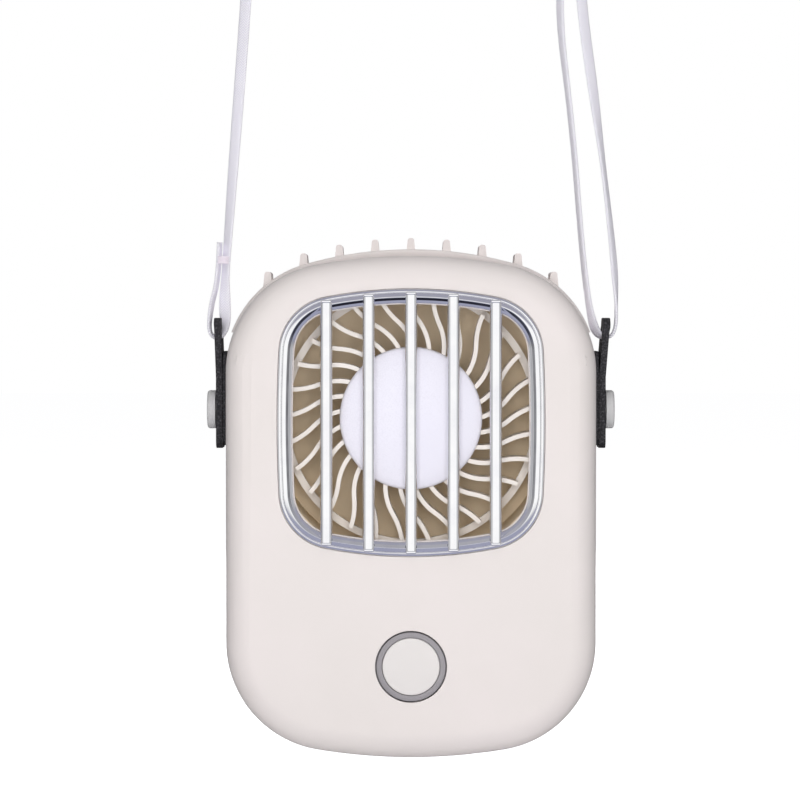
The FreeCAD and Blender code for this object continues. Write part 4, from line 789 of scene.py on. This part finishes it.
bars = []
for number in range(-2, 3):
    across = number * BAR_PITCH
    low, high = bar_end(across, False), bar_end(across, True)
    bar = rounded_box(f"bar_{number + 3}", (across, (BAR_FRONT + BAR_BACK) / 2, (low + high) / 2),
                      (BAR_WIDTH, BAR_BACK - BAR_FRONT, high - low), BAR_ROUNDING, 7,
                      lambda edge: runs_along(edge, 2) and edge.verts[0].co.y < BAR_FRONT + 1e-5)
    bpy.ops.object.mode_set(mode="EDIT")
    cut_across([low + cut for cut in BAR_CUTS] + [high - cut for cut in reversed(BAR_CUTS)])
    bpy.ops.object.mode_set(mode="OBJECT")
    bars.append(bar)
    for end, level in (("foot", low), ("head", high)):
        bars.append(rounded_box(f"bar_{number + 3}_{end}", (across, HEAD_DEPTH, level), HEAD_SIZE,
                                HEAD_ROUNDING, 3, lambda edge: True))
bpy.ops.object.select_all(action="DESELECT")
for piece in [grille] + bars:
    piece.select_set(True)
bpy.context.view_layer.objects.active = grille
bpy.ops.object.join()
soften_edges(grille, GRILLE_EDGE, 2, 50)
smooth_by_angle(grille, 45)
stand_for(grille, "housing", "chrome_grille", "grille_chrome")
print("grille faces:", len(grille.data.polygons))

# %% [markdown]
# A smooth cap closes the hub of the fan wheel. It is a disc whose edge rolls over and whose face is
# slightly domed. A cylinder gives the disc, and its front face is inset and pushed out ring by ring.

# %% Hub cap
low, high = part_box("hub_cap")
CAP_RADIUS, CAP_FRONT, CAP_BACK = (high[0] - low[0]) / 2, low[1], high[1]
# Each ring's inset and its step to the front.
CAP_RINGS = [(0.0001, 0.0003), (0.0002, 0.00025), (0.0003, 0.00016), (0.0012, 0.00016),
             (0.003, 0.00022), (0.004, 0.00016)]
ROUND_SIDES = 96
cap_start = CAP_FRONT + sum(rise for inset, rise in CAP_RINGS)
cap = start_piece(bpy.ops.mesh.primitive_cylinder_add, "hub_cap_dome", vertices=ROUND_SIDES,
                  radius=CAP_RADIUS, depth=CAP_BACK - cap_start, rotation=(math.pi / 2, 0.0, 0.0),
                  location=(0.0, (CAP_BACK + cap_start) / 2, AXIS_HEIGHT))
bpy.ops.object.mode_set(mode="EDIT")
choose(cap, "FACE", lambda face: face.normal.y < -0.9)
for inset, rise in CAP_RINGS:
    bpy.ops.mesh.inset(thickness=inset)
    bpy.ops.transform.translate(value=(0.0, -rise, 0.0))
bpy.ops.object.mode_set(mode="OBJECT")
smooth_by_angle(cap, 50)
stand_for(cap, "impeller", "hub_cap", "hub_white")
print("hub cap faces:", len(cap.data.polygons), "depth", round(CAP_BACK - CAP_FRONT, 4))

# %% [markdown]
# Turned pieces, such as the button, its trim ring and the screws, have the same section all round an axis.
# Spin could sweep a section too, but here a circle is extruded ring by ring, as the grille's frame was,
# so each ring's radius and depth can be read straight from a list in millimetres.

# %% Helper for turned pieces


def turned_piece(name, middle, profile, vertices, closed):
    """A solid turned about the front-to-back axis through a point, from (radius, depth) rings.

    Where it is closed, the last ring joins the first, as in a ring. Otherwise both ends are flat."""
    radius, depth = profile[0]
    piece = start_piece(bpy.ops.mesh.primitive_circle_add, name, vertices=vertices, radius=radius / 1000.0,
                        location=(middle[0], depth / 1000.0, middle[2]), rotation=(math.pi / 2, 0.0, 0.0))
    bpy.ops.object.mode_set(mode="EDIT")
    bpy.ops.mesh.select_mode(type="VERT")
    bpy.ops.mesh.select_all(action="SELECT")
    if not closed:
        bpy.ops.mesh.edge_face_add()
        choose(piece, "EDGE", lambda edge: True)
    for wide, deep in profile[1:]:
        step = (0.0, (deep - depth) / 1000.0, 0.0)
        bpy.ops.mesh.extrude_region_move(TRANSFORM_OT_translate={"value": step})
        bpy.ops.transform.resize(value=(wide / radius, 1.0, wide / radius),
                                 center_override=(middle[0], deep / 1000.0, middle[2]))
        radius, depth = wide, deep
    if closed:
        choose(piece, "EDGE", lambda edge: edge.is_boundary)
        bpy.ops.mesh.bridge_edge_loops()
    bpy.ops.mesh.select_all(action="SELECT")
    bpy.ops.mesh.normals_make_consistent(inside=False)
    bpy.ops.object.mode_set(mode="OBJECT")
    return piece


print("turning helper ready")

# %% Button trim ring
low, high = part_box("button_ring")
trim_back = high[1] * 1000.0
trim_middle = ((low[0] + high[0]) / 2, 0.0, (low[2] + high[2]) / 2)
TRIM_BORE, TRIM_RADIUS, TRIM_FLANGE, FLANGE_DEPTH = 6.1, 7.22, 8.6, 0.8
TRIM_PROFILE = [
    (TRIM_BORE, trim_back), (TRIM_FLANGE, trim_back), (TRIM_FLANGE, trim_back - FLANGE_DEPTH),
    (TRIM_RADIUS, trim_back - FLANGE_DEPTH), (TRIM_RADIUS, -19.03), (7.2, -19.08), (7.15, -19.12),
    (6.34, -19.12), (6.24, -19.1), (6.16, -19.03), (TRIM_BORE, -18.92),
]
trim = turned_piece("button_trim_ring", trim_middle, TRIM_PROFILE, ROUND_SIDES, True)
smooth_by_angle(trim, 40)
stand_for(trim, "housing", "button_ring", "ring_grey")
print("trim ring faces:", len(trim.data.polygons))

# %% [markdown]
# The button is a cap with a slightly domed face, a flange that the ring holds back, and a stem that
# presses the switch. Its solid has a crease in the middle of the dome, so the cap is turned anew, and its
# edge gets a small rounding that catches the light.

# %% Power button
low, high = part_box("power_button")
face, stem_end = low[1] * 1000.0, high[1] * 1000.0
BUTTON_RADIUS, BUTTON_CROWN, BUTTON_FLANGE, BUTTON_STEM = 6.0, 0.25, 7.0, 1.5
FIT_GAP = 0.1
dome = [(wide, face + BUTTON_CROWN * (wide / BUTTON_RADIUS) ** 2)
        for wide in (0.5, 1.5, 2.5, 3.5, 4.5, 5.2, 5.75)]
rim = face + BUTTON_CROWN
flange_front, flange_back = trim_back + FIT_GAP, trim_back + FIT_GAP + FLANGE_DEPTH
button = turned_piece("button_cap", trim_middle, dome + [
    (5.9, rim + 0.02), (5.97, rim + 0.08), (BUTTON_RADIUS, rim + 0.17), (BUTTON_RADIUS, flange_front),
    (BUTTON_FLANGE, flange_front), (BUTTON_FLANGE, flange_back), (BUTTON_STEM, flange_back),
    (BUTTON_STEM, stem_end)], ROUND_SIDES, False)
smooth_by_angle(button, 40)
stand_for(button, "button", "power_button", "button_cream")
print("button faces:", len(button.data.polygons), "depth", round(button.dimensions.y, 4))

# %% [markdown]
# Four screws hold the rear shell. Each has a pan head with a cross recess and a threaded shank. The
# thread is a row of ridges here, because a true helix this small can't be told from it. One screw is
# modelled and copied to the other places.

# %% Screws
low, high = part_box("housing_screws")
# Places and the recess are in metres, what the turned profile uses is in millimetres.
HEAD_RADIUS, LOWER_INSET = 0.0019, 0.0058
RECESS_SIZE = (0.0005, 0.0017, 0.0021)
HEAD_HEIGHT = 1.5
THREAD_RADIUS, CORE_RADIUS, RIDGES, RIDGE_PITCH = 1.0, 0.8, 22, 0.5
SCREW_SEAT = high[1] * 1000.0 - HEAD_HEIGHT
UPPER = (high[0] - HEAD_RADIUS, high[2] - HEAD_RADIUS)
LOWER = (UPPER[0] - LOWER_INSET, low[2] + HEAD_RADIUS)
rises = [(0.9, HEAD_HEIGHT), (1.3, 1.43), (1.62, 1.25), (1.82, 0.95), (1.9, 0.6), (1.9, 0.0),
         (THREAD_RADIUS, 0.0), (CORE_RADIUS, -0.6)]
for ridge in range(RIDGES):
    rises += [(THREAD_RADIUS, -0.85 - RIDGE_PITCH * ridge), (CORE_RADIUS, -1.1 - RIDGE_PITCH * ridge)]
rises += [(0.6, -12.5), (0.15, -13.0)]
screw = turned_piece("housing_screw_1", (UPPER[0], 0.0, UPPER[1]),
                     [(wide, SCREW_SEAT + rise) for wide, rise in rises], 24, False)
for turn in (0.0, math.pi / 2):
    blade = start_piece(bpy.ops.mesh.primitive_cube_add, "cross_blade", size=1.0,
                        location=(UPPER[0], (SCREW_SEAT + HEAD_HEIGHT) / 1000.0, UPPER[1]),
                        rotation=(0.0, turn, 0.0), scale=RECESS_SIZE)
    punch(screw, blade)
smooth_by_angle(screw, 35)
screws = [screw]
for number, (across, up) in enumerate([(-UPPER[0], UPPER[1]), LOWER, (-LOWER[0], LOWER[1])], 2):
    twin = screw.copy()
    twin.data = screw.data.copy()
    twin.name = twin.data.name = f"housing_screw_{number}"
    bpy.context.scene.collection.objects.link(twin)
    twin.data.transform(Matrix.Translation((across - UPPER[0], 0.0, up - UPPER[1])))
    screws.append(twin)
for piece in screws:
    stand_for(piece, "housing", "housing_screws", "motor_steel", "screw_steel")
print("screws:", len(screws), "faces each:", len(screw.data.polygons))

# %% [markdown]
# The housing is two deep trays with rounded edges. Their solids are right but for the screw bosses, whose
# thin rims stand a little out of the rounded edges. So a copy of each solid is trimmed. A tray bulges
# outwards everywhere, so a skin stretched over all its points but those of the bosses is its true
# outside, and whatever lies beyond that skin is cut off.

# %% Housing trays
BOSS_RADIUS = 0.00245
SKIN_SLACK = (1.001, 1.002, 1.001)
FLAT_WITHIN = math.radians(0.3)


def near_boss(vertex):
    """Whether a point belongs to one of the four screw bosses."""
    return any(math.hypot(abs(vertex.co.x) - across, vertex.co.z - up) < BOSS_RADIUS
               for across, up in (UPPER, LOWER))


def merged_copy(node, name):
    """A copy of a solid as one closed mesh, left in edit mode with all of it selected."""
    piece = bpy.data.objects.new(name, frame["nodes"][node].data.copy())
    bpy.context.scene.collection.objects.link(piece)
    take(piece)
    bpy.ops.object.mode_set(mode="EDIT")
    bpy.ops.mesh.select_all(action="SELECT")
    bpy.ops.mesh.remove_doubles(threshold=1e-6)
    return piece


for node, name in (("front_shell", "front_tray"), ("rear_shell", "rear_tray")):
    low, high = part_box(node)
    skin = merged_copy(node, "tray_skin")
    choose(skin, "VERT", near_boss)
    bpy.ops.mesh.delete(type="VERT")
    bpy.ops.mesh.select_all(action="SELECT")
    bpy.ops.mesh.convex_hull()
    bpy.ops.mesh.select_all(action="SELECT")
    bpy.ops.transform.resize(value=SKIN_SLACK, center_override=[(a + b) / 2 for a, b in zip(low, high)])
    bpy.ops.object.mode_set(mode="OBJECT")
    tray = merged_copy(node, name)
    bpy.ops.object.mode_set(mode="OBJECT")
    apply_modifier(tray, "BOOLEAN", operation="INTERSECT", object=skin, solver="EXACT")
    bpy.data.objects.remove(skin)
    bpy.ops.object.mode_set(mode="EDIT")
    bpy.ops.mesh.select_all(action="SELECT")
    bpy.ops.mesh.dissolve_limited(angle_limit=FLAT_WITHIN)
    bpy.ops.object.mode_set(mode="OBJECT")
    smooth_by_angle(tray, 25)
    apply_modifier(tray, "WEIGHTED_NORMAL", keep_sharp=True, weight=100)
    stand_for(tray, "housing", node, "shell_cream")
    print(name, "faces:", len(tray.data.polygons), "depth", round(tray.dimensions.y, 4))

# %% [markdown]
# A pale floor lies a little below the hanging fan and catches its shadow. It and the world are white
# where the camera looks at them, so the picture has the plain white ground of the photograph, while the
# light on the fan itself stays at a plain level. Plating shows what stands round it. A mirror that saw
# only white would look like white paint, so it looks through the floor at a studio room: white straight
# ahead, where the camera stands, with grey walls and dark gaps between the lamps at the sides.

# %% Floor
WHITE = (1.0, 1.0, 1.0, 1.0)


def ray_kinds(tree):
    """The ray node of a tree, and a factor that is 1 for what the camera sees directly or through glass."""
    rays = tree.nodes.new("ShaderNodeLightPath")
    return rays, maths(tree, "MAXIMUM", rays.outputs["Is Camera Ray"], rays.outputs["Is Transmission Ray"])


FLOOR_GAP, FLOOR_SIZE, FLOOR_GLOW = 0.02, 8.0, 0.8
FLOOR_HEIGHT = cad_box[0][2] - FLOOR_GAP
floor = start_piece(bpy.ops.mesh.primitive_plane_add, "floor", size=FLOOR_SIZE,
                    location=(0.0, 0.0, FLOOR_HEIGHT))
material = bpy.data.materials.new("floor_white")
material.use_nodes = True
tree = material.node_tree
tree.nodes.remove(tree.nodes["Principled BSDF"])
paper = add_node(tree, "BsdfDiffuse", {"Color": screen_colour(240, 240, 242)})
glow = add_node(tree, "Emission", {"Color": WHITE, "Strength": FLOOR_GLOW})
rays, direct = ray_kinds(tree)
dark = add_node(tree, "Emission", {"Strength": 0.0})
lit = add_node(tree, "MixShader", {0: direct, 1: dark.outputs["Emission"], 2: glow.outputs["Emission"]})
sheet = add_node(tree, "AddShader", {0: paper.outputs["BSDF"], 1: lit.outputs["Shader"]})
through = add_node(tree, "BsdfTransparent", {})
total = add_node(tree, "MixShader", {0: rays.outputs["Is Glossy Ray"], 1: sheet.outputs["Shader"],
                                     2: through.outputs["BSDF"]})
tree.links.new(total.outputs["Shader"], tree.nodes["Material Output"].inputs["Surface"])
floor.data.materials.append(material)
floor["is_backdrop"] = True
print("floor at", round(FLOOR_HEIGHT, 4))

# %% World
SOFT_LIGHT = 0.22
world = bpy.data.worlds.new("studio")
bpy.context.scene.world = world
world.use_nodes = True
tree = world.node_tree
soft_light = tree.nodes["Background"]
fill(tree, soft_light, {"Color": WHITE, "Strength": SOFT_LIGHT})
heading = tree.nodes.new("ShaderNodeTexCoord").outputs["Generated"]
parts = add_node(tree, "SeparateXYZ", {"Vector": heading})
# The room's walls, from straight ahead at 0 round the sides to straight behind at 1.
sides = ramp(tree, spread(tree, parts.outputs["Y"], -1.0, 1.0), [
    (0.0, WHITE), (0.07, WHITE), (0.095, (0.4, 0.4, 0.42, 1.0)),
    (0.15, (0.42, 0.42, 0.44, 1.0)), (0.24, (0.7, 0.7, 0.72, 1.0)), (0.36, (0.66, 0.66, 0.68, 1.0)),
    (0.41, (0.06, 0.06, 0.07, 1.0)), (0.53, (0.06, 0.06, 0.07, 1.0)), (0.58, (0.6, 0.6, 0.62, 1.0)),
    (0.7, (0.55, 0.55, 0.57, 1.0)), (0.78, (0.1, 0.1, 0.115, 1.0)),
])
# Ahead, all that is well above or below the level is a bluish grey. Elsewhere it grows dark low down.
above = spread(tree, parts.outputs["Z"], -0.2, 0.2)
ends = mixed(tree, above, (0.34, 0.35, 0.46, 1.0), (0.34, 0.34, 0.41, 1.0))
tall = spread(tree, maths(tree, "ABSOLUTE", parts.outputs["Z"]), 0.18, 0.27)
ahead = spread(tree, parts.outputs["Y"], -0.18, -0.36)
low_down = spread(tree, parts.outputs["Z"], -0.1, -0.45)
around = mixed(tree, low_down, sides.outputs["Color"], (0.02, 0.02, 0.03, 1.0))
room = mixed(tree, maths(tree, "MULTIPLY", tall, ahead), around, ends)
mirrored_room = add_node(tree, "Background", {"Color": room, "Strength": 1.0})
white = add_node(tree, "Background", {"Color": WHITE, "Strength": 1.0})
rays, direct = ray_kinds(tree)
glossy = add_node(tree, "MixShader", {0: rays.outputs["Is Glossy Ray"], 1: soft_light.outputs["Background"],
                                      2: mirrored_room.outputs["Background"]})
total = add_node(tree, "MixShader", {0: direct, 1: glossy.outputs["Shader"], 2: white.outputs["Background"]})
tree.links.new(total.outputs["Shader"], tree.nodes["World Output"].inputs["Surface"])
print("world nodes:", len(tree.nodes))

# %% [markdown]
# Three soft lamps light the fan: one close to the line of sight, which reaches into the grille, one from
# above and one from behind for the rear of the housing. The last two are large for their distance, so
# their shadows are soft. The plating mirrors the room alone, which keeps the lamps' own shapes off it.

# %% Lamps
# Each lamp's name, place, size in metres and power in watts.
LAMPS = [
    ("front_lamp", (0.0, -0.34, -0.112), 0.11, 0.55),
    ("top_lamp", (0.0, -0.4, 0.7), 0.8, 2.7),
    ("back_lamp", (0.0, 0.75, 0.15), 0.6, 4.2),
]
for name, place, size, power in LAMPS:
    bpy.ops.object.select_all(action="DESELECT")
    bpy.ops.object.light_add(type="AREA", location=place)
    lamp = bpy.context.object
    lamp.name = name
    lamp.data.size = size
    lamp.data.energy = power
    lamp.visible_glossy = False
    lamp.rotation_euler = (Vector(place) - VIEW_TARGET).to_track_quat("Z", "Y").to_euler()
bpy.context.scene.view_settings.view_transform = "Standard"
print("lamps:", len(LAMPS))

# %% Finish
size = {"cad": [list(c) for c in cad_box], "visual": [list(c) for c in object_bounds()]}
